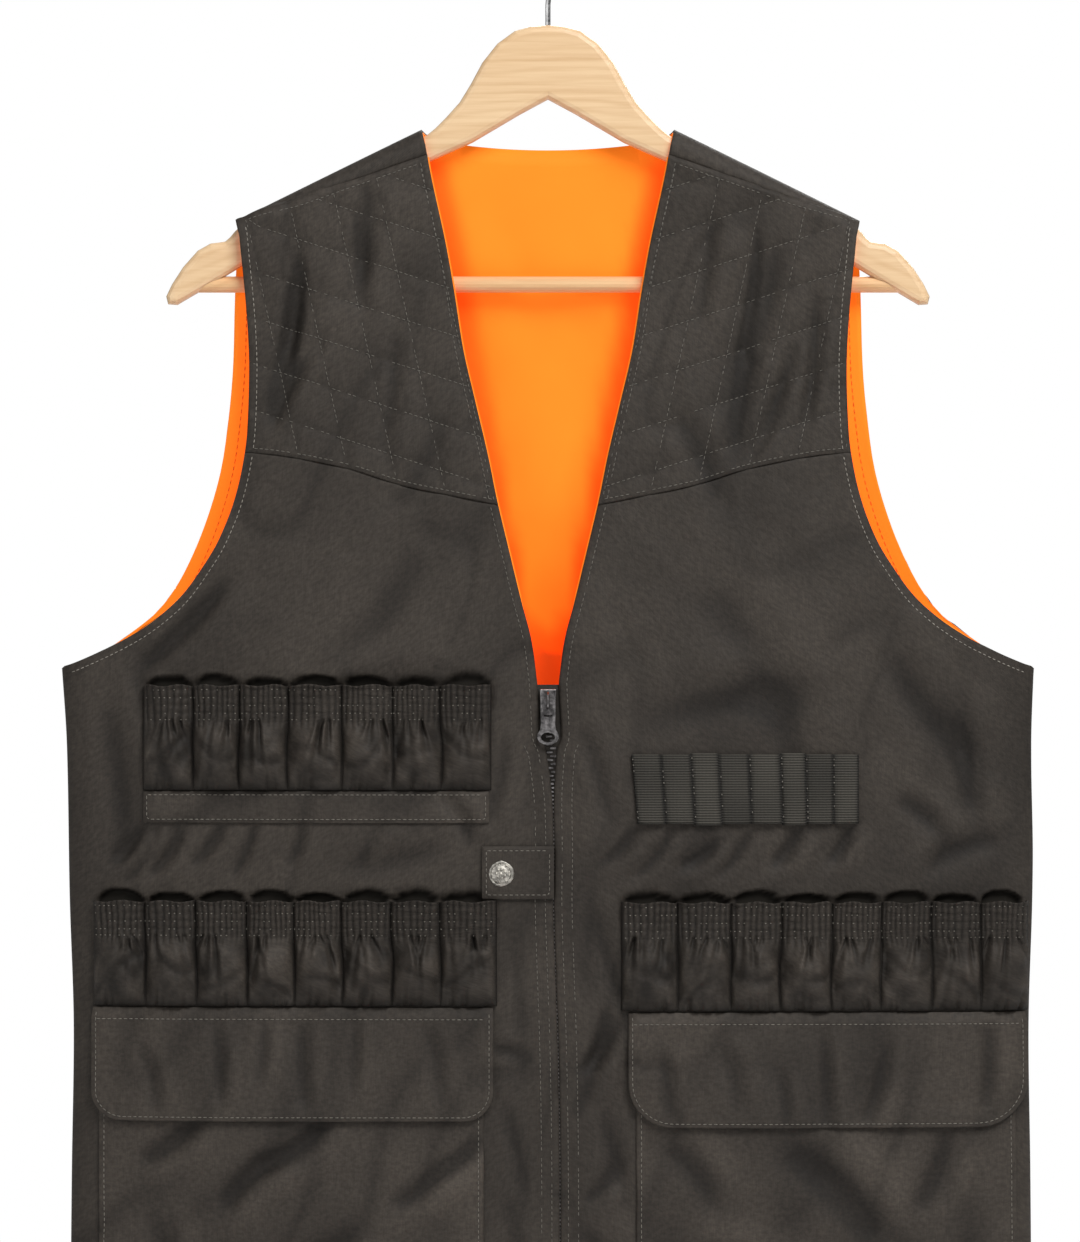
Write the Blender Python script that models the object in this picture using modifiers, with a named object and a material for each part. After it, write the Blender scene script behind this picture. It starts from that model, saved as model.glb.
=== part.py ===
"""A reversible hunting gilet on its wooden hanger.

Metres, Z up. The front faces -Y and the wearer's left is at +X. The origin is the inside of
the hook's top, where a rail holds it. A "drop" is a distance below that point, and "along"
is a distance over the cloth from the shoulder line, positive on the front.
"""

import math
from bisect import bisect_right

import bmesh
import bpy
from mathutils import Vector

MM = 0.001
WELD = 0.01 * MM

# Cloth, from the inside out
LINING = 1.0 * MM
SHELL = 1.2 * MM
SEAM = 0.3 * MM
LAYER_GAP = 0.7 * MM
SHELL_IN = LINING + LAYER_GAP
SHELL_OUT = SHELL_IN + SHELL
LAID = SHELL_OUT + 0.35 * MM
SIDE_CLEAR = 0.8 * MM
QUILT = 1.4 * MM

# Hook and wood
WIRE = 3.0 * MM
HOOK_INSIDE = 20.0 * MM
WOOD_TOP = 70.0 * MM
STEM_DEPTH = 24.0 * MM
STEM_TOP = 58.0 * MM
STEM_PULL = 9.0 * MM
HOOK_PULL = 11.0 * MM
HOOK_START = math.radians(-48)
HOOK_END = math.radians(205)
HOOK_TURNS = 20
SWING_POINTS = 6
TOP_FLAT = (90.0 * MM, 180.0 * MM)
TOP_POINTS = 4
ARM_HALF = 6.0 * MM
ARM_ROUND = 4.0 * MM
BAR_DROP = 221.5 * MM
BAR_RADIUS = 4.75 * MM
BAR_HALF = 207.0 * MM
REST = 1.5 * MM

# Shoulder line of the lining's inside, and how the body fills out below it
NECK_HALF = 73.0 * MM
RIDGE_DROP = 133.8 * MM
RIDGE_SLOPE = 0.4995
RIDGE_SOFT = 20.0 * MM
FOLD = 7.4 * MM
QUARTER = FOLD * math.pi / 2
SPREAD = 180.0 * MM
BLUNT = 0.35
CLOSED_BELOW = 150.0 * MM
NORMAL_TURN = 0.01
NORMAL_STEP = 0.5 * MM
SIDE_TURN = 0.9
SIDE_TURN_OVER = 0.06
SETTLING = 6

V_BOTTOM = 454.0 * MM
UNDERARM = 444.7 * MM
HEM = 867.7 * MM
LINING_HEM = 865.0 * MM
TAPE_HALF = 12.0 * MM

RIGHT = -1
LEFT = 1


def lengths(columns, *rows):
    """A table of named columns, its rows given in millimetres."""
    return [dict(zip(columns.split(), [value * MM for value in row])) for row in rows]


def shares(columns, *rows):
    """A table of named columns, its rows without a unit."""
    return [dict(zip(columns.split(), row)) for row in rows]


NECKLINE = lengths(
    "drop half",
    (131.0, 72.6), (156.0, 68.6), (196.7, 59.8), (225.7, 54.6), (260.6, 49.1), (289.6, 42.4),
    (321.6, 34.9), (347.7, 29.6), (376.8, 22.7), (405.8, 15.7), (429.1, 9.6), (454.0, 6.2),
)
FRONT_ARMHOLE = lengths(
    "drop half",
    (183.9, 180.7), (208.3, 178.4), (235.0, 175.8), (265.2, 174.0), (294.3, 174.3),
    (318.7, 176.0), (347.1, 181.9), (371.0, 191.1), (386.6, 200.4), (404.1, 213.2),
    (417.4, 228.0), (427.3, 243.1), (436.0, 260.3), (442.4, 274.8), (444.7, 281.0),
)
BACK_ARMHOLE = lengths(
    "drop half",
    (183.9, 180.7), (226.3, 183.0), (272.8, 184.5), (311.7, 188.5), (333.2, 192.3),
    (356.4, 199.1), (379.7, 208.3), (400.0, 219.0), (414.5, 230.7), (426.7, 246.3),
    (436.0, 260.3), (442.4, 274.8), (444.7, 281.0),
)
SIDE = lengths(
    "drop half",
    (444.7, 281.0), (490.1, 278.1), (580.1, 276.4), (653.3, 274.1), (738.7, 275.2),
    (867.7, 276.4),
)
LEFT_FULLNESS = lengths("drop extra", (450.0, 0.0), (500.0, 1.6), (560.0, 3.5), (867.7, 3.5))
DEPTH = lengths(
    "drop depth",
    (131.0, 8.0), (200.0, 9.5), (300.0, 14.0), (380.0, 19.0), (445.0, 23.0), (520.0, 25.0),
    (640.0, 26.0), (760.0, 27.2), (867.7, 29.0),
)
YOKE_SEAM = lengths(
    "half drop",
    (30.2, 350.6), (53.5, 346.0), (84.2, 339.6), (114.5, 330.3), (152.2, 322.7), (177.2, 319.9),
)
ZIP_LINE = lengths(
    "drop x",
    (454.0, 0.0), (501.7, 2.3), (551.1, 3.5), (581.9, 3.2), (622.0, 4.4), (662.6, 5.8),
    (702.7, 6.6), (742.8, 7.0), (867.7, 7.0),
)
FRONT_GAP = lengths(
    "drop half",
    (454.0, 6.2), (473.0, 6.2), (486.0, 5.9), (492.0, 3.4), (501.0, 2.4), (522.0, 0.9),
    (551.0, 0.5), (867.7, 0.5),
)
LINING_EDGE = lengths("drop half", (405.0, 15.7), (432.0, 12.6), (454.0, 12.6), (867.7, 12.6))

# Rows of the back over the shoulder: neck half width, then along at the neck and at the tip
WRAP = lengths(
    "half neck tip",
    (70.2, 19.5, 4.0), (71.4, 12.0, 3.2), (71.9, 9.0, 2.4), (72.3, 6.0, 1.6), (72.5, 3.0, 0.8),
    (72.6, 0.0, 0.0), (72.0, -3.0, -3.0), (70.5, -6.0, -6.0), (67.5, -9.0, -9.0),
    (60.0, -14.6, -12.0), (50.0, -20.8, -17.0),
)
BACK_NECK_DROP = 142.6 * MM
NECK_ZONE = 0.2
NECK_ZONE_BELOW = 90.0 * MM

# Heights at which the panels have a row of points, on their outer edges
YOKE_SHARES = [0.0, 0.022, 0.045, 0.07, 0.10] + [0.15 + 0.05 * step for step in range(18)]
FRONT_LEVELS = [
    319.9, 345.0, 371.0, 388.0, 404.0, 417.4, 427.3, 436.0, 442.0, 444.7, 465.0, 500.0, 545.0,
    600.0, 655.0, 710.0, 765.0, 820.0, 867.7,
]
BACK_LEVELS = [
    200.4, 232.0, 265.0, 300.0, 335.0, 356.0, 373.0, 388.0, 404.0, 417.0, 427.0, 436.0, 442.0,
    444.7, 480.0, 540.0, 610.0, 690.0, 780.0, 867.7,
]
YOKE_COLUMNS = 12
FRONT_COLUMNS = 10
BACK_COLUMNS = 20

# Quilting: two families of lines, a cell apart
QUILT_CELL = 27.0 * MM
QUILT_RISE = 0.325
QUILT_LEAN = 0.22

# Gathered cartridge loops: dividers from the centre line, then drops of mouth and foot
LOOP_ROWS = {
    "loop_row_chest": {
        "dividers": [-234.5, -205.7, -178.7, -150.5, -119.7, -90.1, -62.7, -32.8],
        "top": 455.8,
        "foot": 516.2,
    },
    "loop_row_right": {
        "dividers": [-262.6, -233.3, -204.3, -174.5, -147.2, -119.9, -90.9, -62.7, -29.6],
        "top": 580.6,
        "foot": 641.3,
    },
    "loop_row_left": {
        "dividers": [42.4, 74.9, 106.0, 135.4, 164.7, 193.2, 221.8, 250.3, 276.0],
        "top": 581.3,
        "foot": 644.2,
    },
}
LOOP_COLUMNS = 8
LOOP_PROFILE = shares(
    "part depth gather",
    (0.0, 8.0, 0.8), (0.30, 7.6, 0.9), (0.48, 10.2, 0.2), (0.80, 9.6, 0.0), (1.0, 3.2, 0.0),
)
LOOP_ROUND = 0.7
LOOP_WALL = 1.2 * MM

# Flat pieces: edges from the centre line, drops of top and foot, corner radius, thickness
PATCHES = {
    "loop_band_chest": {"x": (-234.5, -34.0), "drop": (516.8, 535.4), "corner": 1.0, "wall": 1.5},
    "pocket_right": {"x": (-259.7, -37.2), "drop": (649.5, 841.6), "corner": 10.0, "wall": 1.2},
    "pocket_left": {"x": (51.1, 270.7), "drop": (652.5, 841.6), "corner": 10.0, "wall": 1.2},
    "flap_right": {"x": (-262.9, -31.7), "drop": (642.3, 708.2), "corner": 17.4, "wall": 1.8},
    "flap_left": {"x": (46.5, 274.8), "drop": (645.2, 712.0), "corner": 26.1, "wall": 1.8},
    "closing_tab": {"x": (-38.3, 3.5), "drop": (548.7, 579.5), "corner": 1.5, "wall": 2.0},
}
POCKET_BELLY = 2.2 * MM
FLAP_LIFT = 1.2 * MM
FLAP_LENGTH = 60.0 * MM
FLAP_STEP = 7.0 * MM
CORNER_TURN = 0.7
PATCH_GRIDS = {
    "loop_band_chest": (8, 1),
    "pocket_right": (9, 4),
    "pocket_left": (9, 4),
    "flap_right": (9, 3),
    "flap_left": (9, 3),
    "closing_tab": (4, 1),
}

WEBBING = {
    "dividers": [48.2, 65.1, 82.5, 98.8, 116.2, 134.8, 149.3, 165.0, 180.1],
    "top": 495.3,
    "foot": 536.0,
    "slant": 3.5,
    "bulge": 2.2,
}
WEBBING_WALL = 1.6 * MM
WEBBING_COLUMNS = 4

SNAP = {"x": -27.3 * MM, "drop": 564.4 * MM, "radius": 7.8 * MM, "height": 3.2 * MM}
SNAP_SIDES = 16
SNAP_PROFILE = shares(
    "out rise",
    (0.0, 1.0), (0.45, 0.94), (0.72, 0.76), (0.80, 0.56), (0.88, 0.60), (0.97, 0.42),
    (1.0, 0.16), (0.97, 0.0), (0.0, 0.0),
)

SLIDER_TOP = 457.5 * MM
SLIDER_FOOT = 473.0 * MM
SLIDER_HALF = 4.9 * MM
SLIDER_THICK = 2.6 * MM
SLIDER_NARROW = 0.82
SLIDER_SOFT = 0.7 * MM
TEETH_SHOWN = 504.0 * MM
TEETH_RISE = 0.9 * MM
TEETH_HALF = 0.2
CHAIN_ACROSS = [-1.0, -0.28, -0.18, 0.18, 0.28, 1.0]
CHAIN_LEVELS = [
    455.0, 480.0, 503.0, 512.0, 530.0, 551.0, 600.0, 655.0, 710.0, 765.0, 820.0, 860.0,
]
CROWN_WIRE = 1.5 * MM
CROWN_CLEAR = 2.5 * MM
CROWN_SUNK = 0.8 * MM
CROWN_SHOULDER = 0.55
CROWN_BELOW_TOP = 2.2 * MM
CROWN_ABOVE_FOOT = 4.4 * MM
CROWN_INSET = 1.2 * MM
PULL_AXIS_DROP = 465.6 * MM
PULL_THICK = 1.2 * MM
PULL_AXIS_OUT = 1.3 * MM

# Half outline of the pull from its eye down, then the eye's window and the ring's hole
PULL_SIDE = lengths(
    "x z",
    (0.0, 0.8), (3.4, 0.8), (4.3, 0.0), (4.3, -7.6), (4.1, -12.5), (4.6, -15.6), (6.0, -18.0),
    (6.2, -20.4), (5.0, -22.6), (2.6, -23.8), (0.0, -24.2),
)
PULL_EYE = lengths("x z", (-2.7, -0.8), (2.7, -0.8), (2.7, -7.9), (-2.7, -7.9))
PULL_RING = {"x_half": 4.2 * MM, "z_half": 2.9 * MM, "z": -19.9 * MM}

COLOURS = {
    "shell": ((0.060, 0.052, 0.042), 0.9, 0.0),
    "lining": ((1.0, 0.33, 0.028), 0.8, 0.0),
    "elastic": ((0.050, 0.044, 0.036), 0.9, 0.0),
    "wood": ((0.83, 0.55, 0.31), 0.45, 0.0),
    "wire": ((0.48, 0.48, 0.48), 0.3, 1.0),
    "zip_metal": ((0.10, 0.10, 0.10), 0.35, 1.0),
    "snap_metal": ((0.36, 0.34, 0.30), 0.35, 1.0),
}


def read(rows, at, column, key="drop"):
    """A column's value where the key reaches `at`, on a smooth curve through the rows."""
    keys = [row[key] for row in rows]
    values = [row[column] for row in rows]
    if at <= keys[0]:
        return values[0]
    if at >= keys[-1]:
        return values[-1]
    index = bisect_right(keys, at) - 1

    def slope(point):
        before = max(point - 1, 0)
        after = min(point + 1, len(keys) - 1)
        return (values[after] - values[before]) / (keys[after] - keys[before])

    span = keys[index + 1] - keys[index]
    t = (at - keys[index]) / span
    start = values[index] * (1 + 2 * t) * (1 - t) ** 2 + slope(index) * span * t * (1 - t) ** 2
    end = values[index + 1] * t * t * (3 - 2 * t) + slope(index + 1) * span * t * t * (t - 1)
    return start + end


def mix(a, b, share):
    return a + (b - a) * share


def smooth(value):
    """0 to 1 with level ends."""
    value = min(max(value, 0.0), 1.0)
    return value * value * (3 - 2 * value)


def ridge(x):
    """Height of the shoulder line at x, for the lining's inside."""
    run = math.hypot(x, RIDGE_SOFT) - math.hypot(NECK_HALF, RIDGE_SOFT)
    return -(RIDGE_DROP + RIDGE_SLOPE * run)


def side_half(height, hand):
    """Half width of the body to the lining's inside at the side seam."""
    half = read(SIDE, -height, "half")
    if hand > 0:
        half += read(LEFT_FULLNESS, -height, "extra")
    return half


def body_depth(x, height):
    """How far the front or back stands from the middle plane: a flat oval, blunt at the sides."""
    half = side_half(height, x)
    across = max(1.0 - (x / half) ** 2, 0.0)
    return read(DEPTH, -height, "depth") * across ** BLUNT


def skin(x, along):
    """A point of the lining's inside, over the rounded shoulder and down the body."""
    run = abs(along)
    if run < QUARTER:
        fall = FOLD * (1 - math.cos(run / FOLD))
        depth = FOLD * math.sin(run / FOLD)
    else:
        fall = FOLD + run - QUARTER
        full = body_depth(x, ridge(x) - fall)
        depth = mix(FOLD, full, smooth((fall - FOLD) / SPREAD))
    return Vector((x, -math.copysign(depth, along), ridge(x) - fall))


def along_at(x, height):
    """Distance over the cloth from the shoulder line down to a height."""
    fall = max(ridge(x) - height, 0.0)
    if fall < FOLD:
        return FOLD * math.acos(1 - fall / FOLD)
    return QUARTER + fall - FOLD


def laid(x, along, out):
    """A point moved out from the lining's inside, kept to its own side of the side seams."""
    point = skin(x, along)
    half = side_half(point.z, x)
    angle = math.asin(max(-1.0, min(1.0, x / half)))
    before = half * math.sin(max(angle - NORMAL_TURN, -math.pi / 2))
    after = half * math.sin(min(angle + NORMAL_TURN, math.pi / 2))
    across = skin(after, along) - skin(before, along)
    down = skin(x, along + NORMAL_STEP) - skin(x, along - NORMAL_STEP)
    point += down.cross(across).normalized() * out
    if ridge(x) - point.z > CLOSED_BELOW:
        if along > 0:
            point.y = min(point.y, -SEAM / 2)
        else:
            point.y = max(point.y, SEAM / 2)
    return point


def on_front(x, height, out):
    return laid(x, along_at(x, height), out)


def sewn_on(x, height, out):
    """A point of a piece sewn on the front's outside, a little freer where the side turns."""
    share = abs(x) / side_half(height, x)
    freer = SIDE_CLEAR * smooth((share - SIDE_TURN) / SIDE_TURN_OVER)
    return on_front(x, height, LAID + freer + out)


def inner_edge(height, hand):
    """The neckline, and below it the front's edge beside the zip."""
    if -height < V_BOTTOM:
        return hand * read(NECKLINE, -height, "half")
    return read(ZIP_LINE, -height, "x") + hand * read(FRONT_GAP, -height, "half")


def lining_edge(height, hand):
    """The lining's edge: the neckline, then beside the zip's tape."""
    half = max(read(NECKLINE, -height, "half"), read(LINING_EDGE, -height, "half"))
    return read(ZIP_LINE, -height, "x") + hand * half


def outer_edge(height, hand, armhole):
    """The armhole, and below it the side seam."""
    half = side_half(height, hand)
    if -height < UNDERARM:
        half = min(half, read(armhole, -height, "half"))
    return hand * half


def material(name):
    """A plain surface for a sub-part."""
    made = bpy.data.materials.get(name)
    if made is None:
        colour, roughness, metallic = COLOURS[name]
        made = bpy.data.materials.new(name)
        made.use_nodes = True
        surface = made.node_tree.nodes["Principled BSDF"]
        surface.inputs["Base Color"].default_value = (*colour, 1.0)
        surface.inputs["Roughness"].default_value = roughness
        surface.inputs["Metallic"].default_value = metallic
    return made


def collection(name):
    """A collection in the scene."""
    made = bpy.data.collections.new(name)
    bpy.context.scene.collection.children.link(made)
    return made


def keep_object(name, mesh, finish, group):
    """An object for a finished mesh."""
    piece = bpy.data.objects.new(name, mesh)
    mesh.materials.clear()
    mesh.materials.append(material(finish))
    group.objects.link(piece)
    return piece


def wall(name, columns, rows, place, finish, group, keep=None):
    """A cloth wall: a grid thickened to two sides, its points set by place(column, row, side)."""
    bm = bmesh.new()
    bmesh.ops.create_grid(bm, x_segments=columns, y_segments=rows, size=0.5)
    if keep is not None:
        dropped = []
        for face in bm.faces:
            middle = face.calc_center_median()
            if not keep((middle.x + 0.5) * columns, (0.5 - middle.y) * rows):
                dropped.append(face)
        bmesh.ops.delete(bm, geom=dropped, context="FACES")
    raised = bmesh.ops.extrude_face_region(bm, geom=bm.faces[:])["geom"]
    outer = {item for item in raised if isinstance(item, bmesh.types.BMVert)}
    for point in bm.verts:
        column = round((point.co.x + 0.5) * columns)
        row = round((0.5 - point.co.y) * rows)
        point.co = place(column, row, 1 if point in outer else 0)
    bmesh.ops.triangulate(bm, faces=bm.faces[:], quad_method="SHORT_EDGE")
    bmesh.ops.recalc_face_normals(bm, faces=bm.faces[:])
    mesh = bpy.data.meshes.new(name)
    bm.to_mesh(mesh)
    bm.free()
    mesh.shade_smooth()
    mesh.set_sharp_from_angle(angle=math.radians(50))
    return keep_object(name, mesh, finish, group)


def settle(top_at, foot_at, inner_at, outer_at, share, spread):
    """x and along of a panel's point, `share` of the way down and `spread` of the way across."""
    x = mix(inner_at(-HEM / 2), outer_at(-HEM / 2), spread)
    along = 0.0
    for _ in range(SETTLING):
        along = mix(top_at(x), foot_at(x), share)
        height = skin(x, along).z
        x = mix(inner_at(height), outer_at(height), spread)
    return x, along


def shoulder_seam(x):
    """The front shoulder seam: well down the front at the neck, on the ridge at the tip."""
    tip = FRONT_ARMHOLE[0]["half"]
    share = (abs(x) - WRAP[0]["half"]) / (tip - WRAP[0]["half"])
    return mix(WRAP[0]["neck"], WRAP[0]["tip"], min(max(share, 0.0), 1.0))


def yoke_seam(x):
    return along_at(x, -read(YOKE_SEAM, abs(x), "drop", key="half"))


def quilting(x, height, hand):
    """The cloth's rise between two crossing families of stitched lines."""
    reach = hand * x
    rising = (-height + reach * QUILT_RISE) / QUILT_CELL
    leaning = (reach - height * QUILT_LEAN) / QUILT_CELL
    between = abs(math.sin(math.pi * rising)) * abs(math.sin(math.pi * leaning))
    return QUILT * math.sqrt(between)


def yokes(group):
    """Quilted upper fronts, from the shoulder seam to the yoke seam."""
    rows = len(YOKE_SHARES) - 1
    for name, hand in (("yoke_right", RIGHT), ("yoke_left", LEFT)):

        def place(column, row, side, hand=hand):
            x, along = settle(
                lambda x: shoulder_seam(x) + SEAM / 2,
                lambda x: yoke_seam(x) - SEAM,
                lambda height: inner_edge(height, hand),
                lambda height: outer_edge(height, hand, FRONT_ARMHOLE),
                YOKE_SHARES[row],
                column / YOKE_COLUMNS,
            )
            if side == 0:
                return laid(x, along, SHELL_IN)
            inside = 0 < column < YOKE_COLUMNS and 0 < row < rows
            rise = quilting(x, skin(x, along).z, hand) if inside else 0.0
            return laid(x, along, SHELL_OUT + rise)

        wall(name, YOKE_COLUMNS, rows, place, "shell", group)


def levels_to_shares(levels):
    return [(level - levels[0]) / (levels[-1] - levels[0]) for level in levels]


def lower_fronts(group):
    """Plain lower fronts, from the yoke seam to the hem."""
    down = levels_to_shares(FRONT_LEVELS)
    for name, hand in (("front_right", RIGHT), ("front_left", LEFT)):

        def place(column, row, side, hand=hand):
            x, along = settle(
                lambda x: yoke_seam(x) + SEAM,
                lambda x: along_at(x, -HEM),
                lambda height: inner_edge(height, hand),
                lambda height: outer_edge(height, hand, FRONT_ARMHOLE),
                down[row],
                math.sin(column / FRONT_COLUMNS * math.pi / 2),
            )
            return laid(x, along, SHELL_OUT if side else SHELL_IN)

        wall(name, FRONT_COLUMNS, len(down) - 1, place, "shell", group)


def front_linings(group):
    """Reverse side of the fronts, from the shoulder seam to the hem."""
    upper = YOKE_SHARES[:5] + YOKE_SHARES[7:-1:3]
    lower = levels_to_shares(FRONT_LEVELS)
    columns = FRONT_COLUMNS // 2
    for name, hand in (("lining_front_right", RIGHT), ("lining_front_left", LEFT)):

        def place(column, row, side, hand=hand):
            even = column / columns
            top_at = lambda x: shoulder_seam(x) + SEAM / 2
            foot_at = yoke_seam
            if row < len(upper):
                share = upper[row]
                spread = mix(even, math.sin(even * math.pi / 2), smooth(share))
            else:
                top_at = yoke_seam
                foot_at = lambda x: along_at(x, -HEM)
                share = lower[row - len(upper)]
                spread = math.sin(even * math.pi / 2)
            x, along = settle(
                top_at,
                foot_at,
                lambda height: lining_edge(height, hand),
                lambda height: outer_edge(height, hand, FRONT_ARMHOLE),
                share,
                spread,
            )
            along = min(along, along_at(x, -LINING_HEM))
            return laid(x, along, LINING if side else 0.0)

        wall(name, columns, len(upper) + len(lower) - 1, place, "lining", group)


def back_point(across, row, hem, out):
    """A point of the back: over the shoulders from the front seam, then down to the hem."""
    down = levels_to_shares(BACK_LEVELS)
    hand = math.copysign(1.0, across)
    part = abs(across)
    zone = min(part / NECK_ZONE, 1.0)
    reach = max(part - NECK_ZONE, 0.0) / (1.0 - NECK_ZONE)
    last = len(WRAP) - 1
    line = WRAP[min(row, last)]
    tip = FRONT_ARMHOLE[0]["half"]
    half = mix(line["half"], tip, reach) if part > NECK_ZONE else line["half"] * zone
    along = mix(line["neck"], line["tip"], reach)
    if row == 0:
        along = shoulder_seam(half) - SEAM / 2
    if row < last:
        return laid(hand * half, along, out)
    top = skin(half, along).z
    if part < NECK_ZONE:
        zone_top = skin(WRAP[last]["half"], WRAP[last]["neck"]).z
        top = mix(-BACK_NECK_DROP, zone_top, zone * zone)
    if row == last:
        return laid(hand * half, -along_at(half, top), out)
    share = down[row - last]
    spread = mix(reach, math.sin(reach * math.pi / 2), smooth(share * 3))
    zone_half = mix(WRAP[last]["half"], NECK_ZONE_BELOW, smooth(share * 3))
    height = mix(top, -HEM, share)
    edge = abs(outer_edge(height, hand, BACK_ARMHOLE))
    height = max(height, -hem)
    x = mix(zone_half, edge, spread) if part > NECK_ZONE else zone_half * zone
    return laid(hand * x, -along_at(x, height), out)


def backs(group):
    """The back and its reverse side."""
    rows = len(WRAP) + len(BACK_LEVELS) - 2
    sets = (
        ("back", BACK_COLUMNS, HEM, SHELL_IN, SHELL_OUT, "shell"),
        ("lining_back", BACK_COLUMNS // 2, LINING_HEM, 0.0, LINING, "lining"),
    )
    for name, columns, hem, inside, outside, finish in sets:
        half = columns / 2

        def place(column, row, side, half=half, hem=hem, inside=inside, outside=outside):
            return back_point(column / half - 1, row, hem, outside if side else inside)

        def keep(column, row, half=half):
            return row > len(WRAP) - 1 or abs(column / half - 1) > NECK_ZONE

        wall(name, columns, rows, place, finish, group, keep)


def away(base, u, v, out):
    """A point moved out along the normal of a surface given by base(u, v)."""
    step = 0.004
    point = base(u, v)
    across = base(min(u + step, 1.0), v) - base(max(u - step, 0.0), v)
    down = base(u, min(v + step, 1.0)) - base(u, max(v - step, 0.0))
    return point + down.cross(across).normalized() * out


def loop_rows(group):
    """Rows of gathered cartridge loops: smocked at the mouth, full below, open on top."""
    down = [row["part"] for row in LOOP_PROFILE]
    for name, row_of_loops in LOOP_ROWS.items():
        dividers = [x * MM for x in row_of_loops["dividers"]]
        top = -row_of_loops["top"] * MM
        foot = -row_of_loops["foot"] * MM
        count = len(dividers) - 1
        columns = count * LOOP_COLUMNS

        def base(u, v, dividers=dividers, count=count, top=top, foot=foot):
            loop = min(int(u * count), count - 1)
            phase = u * count - loop
            x = mix(dividers[loop], dividers[loop + 1], phase)
            full = abs(math.sin(math.pi * phase)) ** LOOP_ROUND
            depth = read(LOOP_PROFILE, v, "depth", key="part") * MM
            return sewn_on(x, mix(top, foot, v), depth * full)

        def place(column, row, side, base=base, columns=columns):
            u = column / columns
            if side == 0:
                return base(u, down[row])
            gather = LOOP_PROFILE[row]["gather"] * MM
            wave = gather if column % 2 else 0.0
            return away(base, u, down[row], LOOP_WALL + wave)

        wall(name, columns, len(down) - 1, place, "elastic", group)


def webbing_loops(group):
    """A row of flat ribbed elastic loops."""
    dividers = [x * MM for x in WEBBING["dividers"]]
    count = len(dividers) - 1
    columns = count * WEBBING_COLUMNS
    rows = 2

    def base(u, v):
        loop = min(int(u * count), count - 1)
        phase = u * count - loop
        x = mix(dividers[loop], dividers[loop + 1], phase)
        x += WEBBING["slant"] * MM * v * (1 - u)
        height = -mix(WEBBING["top"], WEBBING["foot"], v) * MM
        bulge = WEBBING["bulge"] * MM * abs(math.sin(math.pi * phase))
        return sewn_on(x, height, bulge)

    def place(column, row, side):
        u = column / columns
        v = row / rows
        return away(base, u, v, WEBBING_WALL) if side else base(u, v)

    wall("webbing_loops", columns, rows, place, "elastic", group)


def pocket_rise(x, height, hand):
    """How far the pocket's inside stands off the front: a slight belly."""
    patch = PATCHES["pocket_left" if hand > 0 else "pocket_right"]
    left, right = patch["x"]
    top, foot = patch["drop"]
    across = (x / MM - left) / (right - left)
    down = (-height / MM - top) / (foot - top)
    if not (0 < across < 1 and 0 < down < 1):
        return 0.0
    return POCKET_BELLY * math.sin(math.pi * across) * math.sin(math.pi * down)


def flap_rise(x, height, hand):
    """The flap's inside: sewn to the front above, and lying on the pocket below."""
    patch = PATCHES["flap_left" if hand > 0 else "flap_right"]
    below = max(-height - patch["drop"][0] * MM, 0.0)
    over_pocket = PATCHES["pocket_left"]["wall"] * MM + 2 * SEAM
    lift = FLAP_LIFT * below / FLAP_LENGTH
    return smooth(below / FLAP_STEP) * over_pocket + pocket_rise(x, height, hand) + lift


def patches(group):
    """Flat pieces laid on the fronts, with rounded lower corners."""
    for name, patch in PATCHES.items():
        hand = LEFT if name.endswith("left") else RIGHT
        left, right = (x * MM for x in patch["x"])
        top, foot = (drop * MM for drop in patch["drop"])
        corner = patch["corner"] * MM
        columns, straight_rows = PATCH_GRIDS[name]
        straight = foot - corner - top
        drops = [top + straight * step / straight_rows for step in range(straight_rows + 1)]
        drops += [foot - corner * (1 - math.sin(turn)) for turn in (CORNER_TURN, math.pi / 2)]
        if name.startswith("flap"):
            drops.insert(1, top + FLAP_STEP)

        def place(column, row, side, name=name, hand=hand, edges=(left, right), drops=drops,
                  foot=foot, corner=corner, columns=columns, thick=patch["wall"] * MM):
            below = max(drops[row] - (foot - corner), 0.0) / corner
            inset = corner * (1 - math.sqrt(max(1 - below * below, 0.0)))
            height = -drops[row]
            half = side_half(height, hand)
            from_turn = math.asin((edges[0] + inset) / half)
            to_turn = math.asin((edges[1] - inset) / half)
            x = half * math.sin(mix(from_turn, to_turn, column / columns))
            rise = 0.0
            if name.startswith("pocket"):
                rise = pocket_rise(x, height, hand)
            if name.startswith("flap"):
                rise = flap_rise(x, height, hand)
            return sewn_on(x, height, rise + (thick if side else 0.0))

        wall(name, columns, len(drops) - 1, place, "shell", group)


def zip_chain(group):
    """The zip's tape behind the fronts' edges, with its closed teeth as a raised middle."""

    def place(column, row, side):
        height = -CHAIN_LEVELS[row] * MM
        x = read(ZIP_LINE, -height, "x") + CHAIN_ACROSS[column] * TAPE_HALF
        if side == 0:
            return on_front(x, height, 0.0)
        room = -height < TEETH_SHOWN
        rise = TEETH_RISE if room and abs(CHAIN_ACROSS[column]) < TEETH_HALF else 0.0
        return on_front(x, height, LINING + rise)

    columns = len(CHAIN_ACROSS) - 1
    wall("zip_chain", columns, len(CHAIN_LEVELS) - 1, place, "zip_metal", group)


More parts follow.
